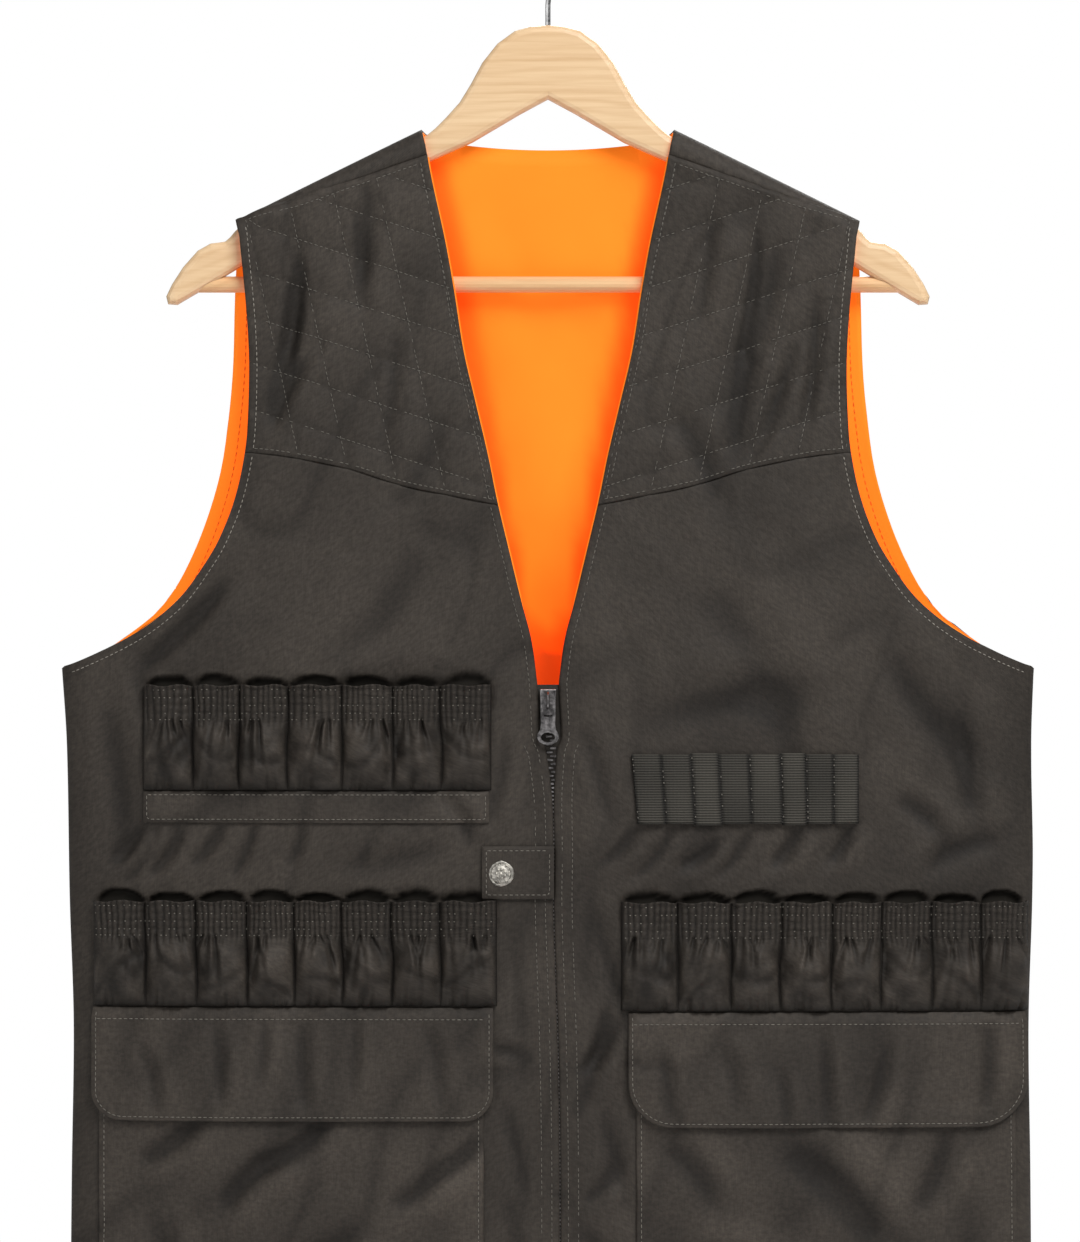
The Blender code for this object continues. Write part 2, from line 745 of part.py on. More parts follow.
def as_mesh(curve_object):
    """A mesh object in place of a curve, its loose caps welded."""
    graph = bpy.context.evaluated_depsgraph_get()
    mesh = bpy.data.meshes.new_from_object(curve_object.evaluated_get(graph))
    bm = bmesh.new()
    bm.from_mesh(mesh)
    bmesh.ops.remove_doubles(bm, verts=bm.verts[:], dist=WELD)
    bmesh.ops.recalc_face_normals(bm, faces=bm.faces[:])
    bm.to_mesh(mesh)
    bm.free()
    made = bpy.data.objects.new(curve_object.name + "_mesh", mesh)
    made.matrix_world = curve_object.matrix_world
    for group in curve_object.users_collection:
        group.objects.link(made)
    bpy.data.objects.remove(curve_object)
    return made


def wire(name, points, thickness, group, resolution=2):
    """A round wire through the points."""
    curve = bpy.data.curves.new(name, "CURVE")
    curve.dimensions = "3D"
    curve.bevel_depth = thickness / 2
    curve.bevel_resolution = resolution
    curve.use_fill_caps = True
    spline = curve.splines.new("POLY")
    spline.points.add(len(points) - 1)
    for slot, point in zip(spline.points, points):
        slot.co = (*point, 1.0)
    made = bpy.data.objects.new(name, curve)
    group.objects.link(made)
    return made


def flat_outline(name, outlines, half_thickness, rounding, group, resolution=0):
    """A filled outline standing in the XZ plane, its edges rounded."""
    curve = bpy.data.curves.new(name, "CURVE")
    curve.dimensions = "2D"
    curve.fill_mode = "BOTH"
    curve.extrude = half_thickness - rounding
    curve.bevel_depth = rounding
    curve.bevel_resolution = resolution
    curve.offset = -rounding
    for outline in outlines:
        spline = curve.splines.new("POLY")
        spline.points.add(len(outline) - 1)
        spline.use_cyclic_u = True
        for slot, (x, z) in zip(spline.points, outline):
            slot.co = (x, z, 0.0, 1.0)
    made = bpy.data.objects.new(name, curve)
    made.rotation_euler.x = math.pi / 2
    group.objects.link(made)
    bpy.context.view_layer.update()
    return as_mesh(made)


def cut(piece, cutter):
    """Bore a piece with a cutter."""
    bore = piece.modifiers.new("bore", "BOOLEAN")
    bore.operation = "DIFFERENCE"
    bore.object = cutter
    cutter.hide_render = True
    cutter.display_type = "WIRE"


def cylinder(name, radius, length, location, rotation, group, sides=16):
    """A round bar centred on its location."""
    bpy.ops.mesh.primitive_cylinder_add(
        vertices=sides, radius=radius, depth=length, location=location, rotation=rotation
    )
    made = bpy.context.object
    made.name = name
    for owner in made.users_collection:
        owner.objects.unlink(made)
    group.objects.link(made)
    return made


# Half outline of the wood from the middle of its top round to the middle of its underside
ARM_HUMP = lengths(
    "half drop",
    (0.0, 70.0), (10.0, 70.9), (19.2, 73.4), (29.6, 81.0), (38.3, 92.0), (45.3, 105.0),
    (51.7, 115.4), (60.0, 124.6), (66.0, 130.6), (71.0, 134.6), (77.0, 137.4),
)
ARM_END = lengths(
    "half drop",
    (183.0, 190.8), (185.6, 194.0), (188.4, 196.4), (192.0, 197.0), (197.0, 197.6),
    (204.5, 201.8), (213.2, 211.6), (219.6, 221.6), (222.9, 228.6), (221.8, 233.0),
    (216.5, 233.4), (199.9, 223.6), (179.5, 211.2), (125.0, 180.6), (71.5, 150.8),
    (44.2, 138.6), (16.0, 122.0), (0.0, 113.4),
)


def hanger_wood(group, cutters):
    """Two arms glued at the middle, bored for the hook's stem and for the trouser bar."""
    half = [(row["half"], -row["drop"]) for row in ARM_HUMP]
    for step in range(TOP_POINTS):
        x = mix(*TOP_FLAT, step / (TOP_POINTS - 1))
        half.append((x, ridge(x) - REST))
    half += [(row["half"], -row["drop"]) for row in ARM_END]
    mirrored = [(-x, z) for x, z in reversed(half[1:-1])]
    arms = flat_outline("arms_outline", [half + mirrored], ARM_HALF, ARM_ROUND, group, 2)
    arms.name = "hanger_arms"
    arms.data.materials.clear()
    arms.data.materials.append(material("wood"))
    arms.data.shade_smooth()
    arms.data.set_sharp_from_angle(angle=math.radians(40))
    stem = cylinder(
        "stem_bore", WIRE / 2 + SEAM, 2 * STEM_DEPTH, (0, 0, -WOOD_TOP), (0, 0, 0), cutters, 12
    )
    cut(arms, stem)
    along_x = (0, math.pi / 2, 0)
    bore = cylinder(
        "bar_bore", BAR_RADIUS + SEAM, 2 * (BAR_HALF + SEAM), (0, 0, -BAR_DROP), along_x, cutters
    )
    cut(arms, bore)
    bar = cylinder(
        "hanger_bar", BAR_RADIUS, 2 * BAR_HALF, (0, 0, -BAR_DROP), along_x, group
    )
    bar.data.materials.append(material("wood"))
    bar.data.shade_smooth()
    bar.data.set_sharp_from_angle(angle=math.radians(40))


def hanger_hook(group):
    """A bent wire: a straight stem, a swing to one side, and an open round hook."""
    radius = HOOK_INSIDE + WIRE / 2
    centre = Vector((0, 0, -HOOK_INSIDE))
    stem_foot = Vector((0, 0, -(WOOD_TOP + STEM_DEPTH - SEAM)))
    stem_top = Vector((0, 0, -STEM_TOP))
    outward = Vector((math.cos(HOOK_START), 0, math.sin(HOOK_START)))
    heading = Vector((-math.sin(HOOK_START), 0, math.cos(HOOK_START)))
    joint = centre + outward * radius
    pull_up = stem_top + Vector((0, 0, STEM_PULL))
    pull_back = joint - heading * HOOK_PULL
    points = [stem_foot, stem_top]
    for step in range(1, SWING_POINTS + 1):
        t = step / (SWING_POINTS + 1)
        points.append(
            stem_top * (1 - t) ** 3 + pull_up * 3 * t * (1 - t) ** 2
            + pull_back * 3 * t * t * (1 - t) + joint * t ** 3
        )
    for step in range(HOOK_TURNS + 1):
        angle = mix(HOOK_START, HOOK_END, step / HOOK_TURNS)
        points.append(centre + Vector((radius * math.cos(angle), 0, radius * math.sin(angle))))
    hook = wire("hanger_hook", points, WIRE, group)
    hook.data.materials.append(material("wire"))


def snap_cap(group):
    """A domed press stud's cap on the tab."""
    radius = SNAP["radius"]
    height = SNAP["height"]
    top = PATCHES["closing_tab"]["wall"] * MM + LAID
    rim_points = []
    for step in range(SNAP_SIDES):
        angle = 2 * math.pi * step / SNAP_SIDES
        x = SNAP["x"] + radius * math.cos(angle)
        rim_points.append(on_front(x, -SNAP["drop"] + radius * math.sin(angle), top).y)
    bm = bmesh.new()
    points = []
    for row in SNAP_PROFILE:
        points.append(bm.verts.new((row["out"] * radius, 0, row["rise"] * height)))
    for first, second in zip(points, points[1:]):
        bm.edges.new((first, second))
    mesh = bpy.data.meshes.new("snap_cap")
    bm.to_mesh(mesh)
    bm.free()
    cap = keep_object("snap_cap", mesh, "snap_metal", group)
    turned = cap.modifiers.new("turned", "SCREW")
    turned.axis = "Z"
    turned.steps = SNAP_SIDES
    turned.render_steps = SNAP_SIDES
    turned.use_merge_vertices = True
    turned.merge_threshold = WELD
    turned.use_smooth_shade = True
    cap.rotation_euler.x = math.pi / 2
    cap.location = (SNAP["x"], min(rim_points) - SEAM, -SNAP["drop"])


def slider_face():
    """y of the slider's front face: on the closed teeth, between the fronts' edges."""
    teeth = [on_front(0.0, -drop, LINING + TEETH_RISE).y for drop in (SLIDER_TOP, SLIDER_FOOT)]
    return min(teeth) - SEAM - SLIDER_THICK


def zip_slider(group, cutters):
    """The slider's body with the crown that its pull hangs from."""
    face = slider_face()
    bpy.ops.mesh.primitive_cube_add(size=1.0)
    slider = bpy.context.object
    slider.name = "zip_slider"
    for owner in slider.users_collection:
        owner.objects.unlink(slider)
    group.objects.link(slider)
    for point in slider.data.vertices:
        narrow = 1.0 if point.co.z > 0 else SLIDER_NARROW
        point.co.x *= 2 * SLIDER_HALF * narrow
        point.co.y *= SLIDER_THICK
        point.co.z *= SLIDER_FOOT - SLIDER_TOP
    middle = -(SLIDER_TOP + SLIDER_FOOT) / 2
    slider.location = (0, face + SLIDER_THICK / 2, middle)
    soften = slider.modifiers.new("soften", "BEVEL")
    soften.width = SLIDER_SOFT
    soften.segments = 2
    sunk = face + CROWN_SUNK
    crest = face - CROWN_CLEAR - CROWN_WIRE / 2
    shoulder = face - CROWN_CLEAR * CROWN_SHOULDER
    upper = -(SLIDER_TOP + CROWN_BELOW_TOP)
    lower = -(SLIDER_FOOT - CROWN_ABOVE_FOOT)
    route = [
        (0, sunk, upper), (0, shoulder, upper), (0, crest, upper - CROWN_INSET),
        (0, crest, lower + CROWN_INSET), (0, shoulder, lower), (0, sunk, lower),
    ]
    crown = wire("crown_wire", [Vector(point) for point in route], CROWN_WIRE, cutters, 1)
    bpy.context.view_layer.update()
    crown = as_mesh(crown)
    crown.name = "slider_crown"
    crown.hide_render = True
    crown.display_type = "WIRE"
    joined = slider.modifiers.new("crown", "BOOLEAN")
    joined.operation = "UNION"
    joined.object = crown
    slider.data.materials.append(material("zip_metal"))


def oval(x_half, z_half, z, steps=12):
    """Points round an oval centred on the pull's middle line."""
    turns = [2 * math.pi * step / steps for step in range(steps)]
    return [(x_half * math.cos(turn), z + z_half * math.sin(turn)) for turn in turns]


def zip_pull(group):
    """The pull: an eye round the crown, a waisted plate and a ring at its end."""
    axis = Vector((0, slider_face() - PULL_AXIS_OUT, -PULL_AXIS_DROP))
    right = [(row["x"], row["z"]) for row in PULL_SIDE]
    outer = right + [(-x, z) for x, z in reversed(right[1:-1])]
    eye = [(row["x"], row["z"]) for row in PULL_EYE]
    ring = oval(**PULL_RING)
    pull = flat_outline("pull_outline", [outer, eye, ring], PULL_THICK / 2, 0.0, group)
    pull.name = "zip_pull"
    pull.location = axis
    pull.data.materials.clear()
    pull.data.materials.append(material("zip_metal"))


def main():
    """Build every piece."""
    for item in list(bpy.data.objects):
        bpy.data.objects.remove(item)
    group = collection("reversible_hunting_gilet")
    cutters = collection("cutters")
    yokes(group)
    lower_fronts(group)
    front_linings(group)
    backs(group)
    loop_rows(group)
    webbing_loops(group)
    patches(group)
    zip_chain(group)
    hanger_wood(group, cutters)
    hanger_hook(group)
    snap_cap(group)
    zip_slider(group, cutters)
    zip_pull(group)


main()
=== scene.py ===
"""The looks of a reversible hunting gilet on its wooden hanger.

Metres, Z up. The front faces -Y and the wearer's left is at +X. The origin is the inside of
the hook's top, where a rail holds it. A "drop" is a distance below that point, and "along"
is a distance over the cloth from the shoulder line, positive on the front.
"""

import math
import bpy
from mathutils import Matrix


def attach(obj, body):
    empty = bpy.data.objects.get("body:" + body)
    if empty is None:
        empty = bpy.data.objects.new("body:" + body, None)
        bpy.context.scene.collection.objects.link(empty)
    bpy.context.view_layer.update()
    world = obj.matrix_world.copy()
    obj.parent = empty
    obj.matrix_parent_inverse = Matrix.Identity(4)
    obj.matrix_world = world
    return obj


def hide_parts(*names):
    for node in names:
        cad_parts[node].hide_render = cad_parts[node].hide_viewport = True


bl_info = {
    "name": "Reversible Hunting Gilet",
    "version": (1, 0, 0),
    "blender": (4, 5, 0),
    "location": "3D Viewport > Sidebar > Gilet",
    "description": "Cloth, stitching, zip and hanger of a reversible hunting gilet",
    "category": "Add Mesh",
}

import bmesh
import bpy
import numpy as np
from mathutils import Matrix, Vector

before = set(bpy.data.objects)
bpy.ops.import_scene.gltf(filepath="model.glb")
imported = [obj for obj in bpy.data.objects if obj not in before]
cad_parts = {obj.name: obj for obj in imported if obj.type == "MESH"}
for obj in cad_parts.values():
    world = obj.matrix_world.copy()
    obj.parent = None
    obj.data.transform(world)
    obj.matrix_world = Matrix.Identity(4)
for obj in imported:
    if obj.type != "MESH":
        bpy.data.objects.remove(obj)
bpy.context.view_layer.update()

MM = 0.001

# Cloth, from the inside out
LINING = 1.0 * MM
SHELL = 1.2 * MM
SEAM = 0.3 * MM
LAYER_GAP = 0.7 * MM
SHELL_IN = LINING + LAYER_GAP
SHELL_OUT = SHELL_IN + SHELL
LAID = SHELL_OUT + 0.35 * MM
SIDE_CLEAR = 0.8 * MM

# Shoulder line of the lining's inside, how the body fills out below it, and how cloth lies on it
NECK_HALF = 73.0 * MM
RIDGE_DROP = 133.8 * MM
RIDGE_SLOPE = 0.4995
RIDGE_SOFT = 20.0 * MM
FOLD = 7.4 * MM
QUARTER = FOLD * math.pi / 2
SPREAD = 180.0 * MM
BLUNT = 0.35
CLOSED_BELOW = 150.0 * MM
NORMAL_TURN = 0.01
NORMAL_STEP = 0.5 * MM
SIDE_TURN = 0.9
SIDE_TURN_OVER = 0.06
SETTLING = 6

V_BOTTOM = 454.0 * MM
UNDERARM = 444.7 * MM
HEM = 867.7 * MM
LINING_HEM = 865.0 * MM
HEM_STITCHES = HEM - 14 * MM
TAPE_HALF = 12.0 * MM

# Stitching: how far its lines lie from an edge and stand out, the fewest points of a line, and
# each flat piece's rows, given by their distances from its edge and its top
EDGE_GAP = 4.6 * MM
ZIP_GAP = 10.5 * MM
BACK_GAP = 5.0 * MM
REVERSE_GAP = 7.0 * MM
STITCH_LIFT = 0.12 * MM
QUILT_STITCH_LIFT = 0.42 * MM
SHORTEST_RUN = 4
PATCH_STITCHES = (
    ("flap_right", 2.4 * MM, 6.8 * MM), ("flap_left", 2.4 * MM, 6.8 * MM),
    ("pocket_right", 3.0 * MM), ("pocket_left", 3.0 * MM),
    ("loop_band_chest", 2.2 * MM, 2.2 * MM), ("closing_tab", 2.6 * MM, 2.6 * MM),
)

# How far the reverse side stops short of the neckline, and how wide a trough it stays behind
LINING_SHOWS = 0.7 * MM
BEHIND = 6.0 * MM

# How far a panel runs under the edge sewn over it, how deep it dips there, how far before that
# edge the dip starts, and how far front and back overlap at the side seams
UNDERLAP = 1.6 * MM
UNDERLAP_DIP = 1.5 * MM
UNDERLAP_LEAD = 0.4 * MM
LAPPED = 0.2 * MM

RIGHT = -1
LEFT = 1
SIDES = (("right", RIGHT), ("left", LEFT))
FRONTWARD = -1
BACKWARD = 1


def lengths(columns, *rows):
    """A table of named columns, its rows given in millimetres."""
    return [dict(zip(columns.split(), [value * MM for value in row])) for row in rows]


def shares(columns, *rows):
    """A table of named columns, its rows without a unit."""
    return [dict(zip(columns.split(), row)) for row in rows]


NECKLINE = lengths(
    "drop half",
    (131.0, 72.6), (156.0, 68.6), (196.7, 59.8), (225.7, 54.6), (260.6, 49.1), (289.6, 42.4),
    (321.6, 34.9), (347.7, 29.6), (376.8, 22.7), (405.8, 15.7), (429.1, 9.6), (454.0, 6.2),
)
FRONT_ARMHOLE = lengths(
    "drop half",
    (183.9, 180.7), (208.3, 178.4), (235.0, 175.8), (265.2, 174.0), (294.3, 174.3),
    (318.7, 176.0), (347.1, 181.9), (371.0, 191.1), (386.6, 200.4), (404.1, 213.2),
    (417.4, 228.0), (427.3, 243.1), (436.0, 260.3), (442.4, 274.8), (444.7, 281.0),
)
BACK_ARMHOLE = lengths(
    "drop half",
    (183.9, 180.7), (226.3, 183.0), (272.8, 184.5), (311.7, 188.5), (333.2, 192.3),
    (356.4, 199.1), (379.7, 208.3), (400.0, 219.0), (414.5, 230.7), (426.7, 246.3),
    (436.0, 260.3), (442.4, 274.8), (444.7, 281.0),
)
SIDE = lengths(
    "drop half",
    (444.7, 281.0), (490.1, 278.1), (580.1, 276.4), (653.3, 274.1), (738.7, 275.2),
    (867.7, 276.4),
)
LEFT_FULLNESS = lengths("drop extra", (450.0, 0.0), (500.0, 1.6), (560.0, 3.5), (867.7, 3.5))
DEPTH = lengths(
    "drop depth",
    (131.0, 8.0), (200.0, 9.5), (300.0, 14.0), (380.0, 19.0), (445.0, 23.0), (520.0, 25.0),
    (640.0, 26.0), (760.0, 27.2), (867.7, 29.0),
)
YOKE_SEAM = lengths(
    "half drop",
    (30.2, 350.6), (53.5, 346.0), (84.2, 339.6), (114.5, 330.3), (152.2, 322.7), (177.2, 319.9),
)
ZIP_LINE = lengths(
    "drop x",
    (454.0, 0.0), (501.7, 2.3), (551.1, 3.5), (581.9, 3.2), (622.0, 4.4), (662.6, 5.8),
    (702.7, 6.6), (742.8, 7.0), (867.7, 7.0),
)
FRONT_GAP = lengths(
    "drop half",
    (454.0, 6.2), (473.0, 6.2), (486.0, 5.9), (492.0, 3.4), (501.0, 2.2), (522.0, 0.4),
    (551.0, 0.2), (867.7, 0.2),
)
LINING_EDGE = lengths("drop half", (405.0, 15.7), (432.0, 12.6), (454.0, 12.6), (867.7, 12.6))

# Rows of the back over the shoulder: neck half width, then along at the neck and at the tip
WRAP = lengths(
    "step half neck tip",
    (0, 70.2, 19.5, 4.0), (1, 71.4, 12.0, 3.2), (2, 71.9, 9.0, 2.4), (3, 72.3, 6.0, 1.6),
    (4, 72.5, 3.0, 0.8), (5, 72.6, 0.0, 0.0), (6, 72.0, -3.0, -3.0), (7, 70.5, -6.0, -6.0),
    (8, 67.5, -9.0, -9.0), (9, 60.0, -14.6, -12.0), (10, 50.0, -20.8, -17.0),
)
ROWS_OVER = 20
BACK_NECK_DROP = 142.6 * MM
NECK_ZONE = 0.2
NECK_ZONE_BELOW = 90.0 * MM
FRONT_TOP = 319.9 * MM

# Quilting: two families of stitched lines, a cell apart
QUILT = 1.35 * MM
QUILT_CELL = 27.0 * MM
QUILT_RISE = 0.325
QUILT_LEAN = 0.22

# Gathered cartridge loops: dividers from the centre line, then drops of mouth and foot
LOOP_ROWS = {
    "loop_row_chest": {
        "dividers": [-234.5, -205.7, -178.7, -150.5, -119.7, -90.1, -62.7, -32.8],
        "top": 455.8,
        "foot": 516.2,
    },
    "loop_row_right": {
        "dividers": [-262.6, -233.3, -204.3, -174.5, -147.2, -119.9, -90.9, -62.7, -29.6],
        "top": 580.6,
        "foot": 641.3,
    },
    "loop_row_left": {
        "dividers": [42.4, 74.9, 106.0, 135.4, 164.7, 193.2, 221.8, 250.3, 276.0],
        "top": 581.3,
        "foot": 644.2,
    },
}
LOOP_WALL = 1.0 * MM
LOOP_DEPTH = shares(
    "part depth round",
    (0.0, 8.4, 0.36), (0.06, 7.6, 0.36), (0.18, 6.6, 0.38), (0.30, 6.4, 0.42), (0.38, 7.8, 0.5),
    (0.54, 10.4, 0.62), (0.72, 10.2, 0.66), (0.88, 7.4, 0.6), (0.96, 4.2, 0.5), (1.0, 2.6, 0.45),
)
ELASTIC_FOOT = 0.33
SHIRRING = (0.04, 0.115, 0.19, 0.265, 0.325)
MOUTH_RISE = 5.8 * MM
MOUTH_DEEP = 4.6 * MM

# Flat pieces: edges from the centre line, drops of top and foot, corner radius, thickness,
# flat size as cut in metres, and spacing of the mesh
PATCHES = {
    "loop_band_chest": {
        "x": (-234.5, -34.0), "drop": (516.8, 535.4), "corner": 1.0, "wall": 1.5,
        "flat": (0.202, 0.019), "spacing": 1.6,
    },
    "pocket_right": {
        "x": (-259.7, -37.2), "drop": (649.5, 841.6), "corner": 10.0, "wall": 1.2,
        "flat": (0.224, 0.193), "spacing": 3.0,
    },
    "pocket_left": {
        "x": (51.1, 270.7), "drop": (652.5, 841.6), "corner": 10.0, "wall": 1.2,
        "flat": (0.224, 0.190), "spacing": 3.0,
    },
    "flap_right": {
        "x": (-262.9, -31.7), "drop": (642.3, 708.2), "corner": 17.4, "wall": 1.8,
        "flat": (0.233, 0.067), "spacing": 1.7,
    },
    "flap_left": {
        "x": (46.5, 274.8), "drop": (645.2, 712.0), "corner": 26.1, "wall": 1.8,
        "flat": (0.233, 0.068), "spacing": 1.7,
    },
    "closing_tab": {
        "x": (-38.3, 3.5), "drop": (548.7, 579.5), "corner": 1.5, "wall": 2.0,
        "flat": (0.042, 0.031), "spacing": 1.2,
    },
}
POCKET_BELLY = 4.0 * MM
FLAP_LIFT = 1.2 * MM
FLAP_LENGTH = 60.0 * MM
FLAP_STEP = 7.0 * MM
THINNEST = 0.6 * MM

WEBBING = {
    "dividers": [48.2, 65.1, 82.5, 98.8, 116.2, 134.8, 149.3, 165.0, 180.1],
    "top": 495.3,
    "foot": 536.0,
    "slant": 3.5,
    "bulge": 2.2,
}
WEBBING_WALL = 1.4 * MM

# The zip's tape, and its teeth: their drops, pitch and sizes (width, depth, height) are in
# millimetres, and a tooth's inner end is thinned by a share
TAPE_OUT = 0.95 * MM
TAPE_WALL = 0.7 * MM
TEETH_OUT = 0.75 * MM
TEETH_TOP = 462
TEETH_FOOT = 856
TOOTH_PITCH = 2.3
TOOTH = (3.6, 2.4, 1.5)
TOOTH_IN_SLIDER = (3, 2, 1.4)
TOOTH_TAPER = 0.62
UNDER_SLIDER = 474 * MM

# Beads on the press stud: how many, ring radius, bead radius, how deep they sit
SNAP_BEADS = ((16, 5.0, 0.62, 0.75), (7, 2.6, 0.95, 0.45), (1, 0.0, 1.1, 0.35))

# Creases: their two ends, half width, depth (below zero for a trough), and how far the middle bows
FRONT_FOLDS = lengths(
    "x drop to_x to_drop width depth bow",
    (-186, 395, -236, 446, 6.5, -2.2, 2), (-233.6, 537, -251, 557, 4.5, -2.0, 1),
    (-212.6, 540, -232, 566, 4.5, -2.2, 2), (-188.2, 537, -206, 560, 4.5, -2.0, 1),
    (45.9, 645, 18, 680, 5, -2.0, 3), (38.9, 734, 22, 755, 5, -1.6, 2),
    (-32, 666, -8, 672, 4, -1.6, 1), (51.1, 538, 33, 558, 4.5, -2.0, 2),
    (98.8, 546, 78, 560, 4.5, -2.2, 2), (146.4, 540, 131, 560, 4.5, -2.0, 1),
    (176.6, 538, 164, 558, 4.5, -2.0, 1), (131.9, 200, 114, 270, 8, -1.9, 3),
    (117, 264, 108, 330, 8, -1.8, -2), (-140.6, 212, -162, 296, 8, -1.9, 3),
    (-150, 222, -153, 268, 5, -1.2, 1), (-105.7, 164, -106, 214, 6, -1.5, 2),
    (-150, 470, -60, 452, 9, -1.3, 4), (-120, 560, -60, 548, 8, -1.2, -3),
    (60, 475, 160, 462, 12, -1.4, 5), (200, 440, 250, 500, 11, -1.6, -4),
    (95, 400, 150, 520, 14, -1.3, 6), (-75, 380, -120, 440, 12, -1.2, 5),
    (222, 560, 262, 545, 7, -1.6, 3), (-255, 470, -246, 560, 8, -1.4, 3),
    (-20, 600, -14, 690, 6, -1.0, 2), (28, 560, 22, 640, 6, -1.0, -2),
    (18, 770, 44, 812, 7, -1.4, 3), (-24, 752, -10, 830, 7, -1.2, 3),
    (75, 300, 100, 350, 8, -1.3, 3), (-60, 300, -88, 352, 8, -1.2, 3),
    (-200, 352, -214, 398, 9, -1.2, 3), (198, 350, 226, 410, 9, -1.3, -3),
    (-146, 205, -150, 262, 4, -1.5, 2), (-128, 250, -160, 304, 4.5, -1.7, -2),
    (-112, 180, -108, 236, 5, -1.3, 1), (-88, 250, -96, 318, 5, -1.1, 2),
    (122, 190, 112, 262, 4, -1.5, 2), (142, 258, 120, 322, 5, -1.7, 2),
    (96, 180, 88, 244, 5, -1.2, 1), (156, 226, 150, 304, 4, -1.3, 2),
    (-226, 536, -244, 570, 3, -1.6, 2), (-170, 537, -182, 566, 3.5, -1.8, 1),
    (-142, 538, -150, 560, 3.5, -1.5, 1), (-98, 538, -108, 558, 4, -1.3, -1),
    (-60, 520, -44, 548, 5, -1.6, 2), (118, 540, 100, 566, 3.5, -1.7, 1),
    (72, 540, 52, 566, 3.5, -1.6, 2), (204, 520, 232, 548, 6, -1.6, 2),
    (30, 590, 44, 640, 5, -1.7, -2), (34, 640, 16, 706, 5, -1.8, 3),
    (-24, 700, -12, 760, 5, -1.5, 2), (30, 700, 46, 760, 5, -1.5, 2),
    (20, 480, 34, 530, 5, -1.3, 2), (-24, 486, -36, 540, 5, -1.3, 2),
    (-238, 450, -226, 500, 6, -1.4, 2), (240, 460, 250, 540, 7, -1.5, -3),
)
POCKET_FOLDS = lengths(
    "x drop to_x to_drop width depth bow",
    (-203, 708, -233, 731, 6, -2.2, 2), (-128, 708, -166, 735, 7, -2.4, 3),
    (-160, 730, -188, 758, 7, -2.2, -2), (-38, 717, -68, 741, 6, -2.2, 2),
    (-62, 737, -88, 757, 6, -2.0, 1), (140, 724, 190, 776, 11, -2.6, 4),
    (70, 722, 96, 756, 8, -1.6, 3), (232, 716, 214, 760, 7, -1.8, 2),
    (-110, 770, -178, 806, 10, -1.8, 5), (80, 786, 150, 816, 10, -1.6, 5),
    (-230, 760, -212, 826, 8, -1.3, 3), (246, 770, 226, 826, 8, -1.4, 3),
)
FLAP_FOLDS = lengths(
    "x drop to_x to_drop width depth bow",
    (-192, 652, -189, 697, 4.5, -1.2, 1), (-164, 650, -167, 684, 4, -1.0, 1),
    (-142, 652, -140, 702, 5, -1.3, -1), (-112, 650, -114, 690, 4, -1.0, 1),
    (-236, 664, -226, 702, 5, -1.0, 2), (-70, 654, -62, 698, 5, -1.1, 2),
    (66, 668, 71, 708, 5, -1.3, 1), (134, 680, 138, 711, 4, -1.2, 1),
    (159, 660, 161, 711, 4.5, -1.4, 1), (195, 662, 184, 709, 5, -1.4, 2),
    (255, 655, 253, 702, 5, -1.3, 1), (100, 664, 110, 700, 6, -1.0, 2),
)
BACK_FOLDS = lengths(
    "x drop to_x to_drop width depth bow",
    (-160, 210, -110, 330, 14, -1.8, 6), (150, 215, 118, 340, 14, -1.7, -6),
    (-60, 170, -30, 250, 12, -1.4, 4), (50, 172, 34, 240, 12, -1.3, -4),
    (-240, 445, -180, 520, 13, -2.2, 6), (236, 448, 176, 540, 13, -2.0, -6),
    (-150, 520, -60, 560, 18, -1.6, 8), (90, 500, 170, 580, 16, -1.6, -7),
    (-215, 640, -180, 780, 16, -1.8, 8), (210, 620, 190, 770, 16, -1.8, -8),
    (-90, 640, -70, 800, 18, -1.5, 8), (60, 660, 96, 820, 18, -1.5, 8),
    (0, 300, 12, 430, 20, -1.2, 8), (-30, 760, 20, 846, 12, -1.3, 5),
    (140, 700, 120, 850, 14, -1.4, 6), (-150, 740, -128, 850, 14, -1.4, -6),
)
UNDULATION = 1.5 * MM
RUMPLE = 0.9 * MM

# Colours that aren't among the settings
THREAD_ORANGE = (0.75, 0.16, 0.012)
# Dull dark colour mixed into the loops' mouths as painted shade
PAINTED_SHADE_DARK = (0.026, 0.0235, 0.0202)
STEEL = (0.50, 0.50, 0.50)
WHITE = (1.0, 1.0, 1.0)

# The photo: its scale, its middle and height in pixels, the column of the centre line, the row
# of the wood's top and that top's drop, and the depth of the cloth that the scale holds for
PIXEL = 0.581 * MM
PHOTO_MIDDLE = (540, 621)
PHOTO_HEIGHT = 1242
CENTRE_PIXEL = 548
WOOD_PIXEL = 22
WOOD_TOP = 70.0 * MM
FRONT_DEPTH = 22.0 * MM
SENSOR = 36.0

# Lamps: name, place, size and power, and the point that they are aimed at; then the floor
LAMPS = (
    ("key", (1.3, -2.4, 2.4), 1.9, 148.0),
    ("fill", (-2.2, -2.6, 0.3), 1.8, 16.0),
    ("back_light", (0.6, 2.6, 1.4), 1.8, 50.0),
)
LIT = Vector((-0.005, 0.0, -0.42))
FLOOR_HALF = 2.6
FLOOR_PLACE = (0, -0.1, -1.05)


def colour_setting(name, description, default):
    """A colour that a user would change."""
    return bpy.props.FloatVectorProperty(
        name=name, description=description, subtype="COLOR", default=default, min=0.0, max=1.0,
    )


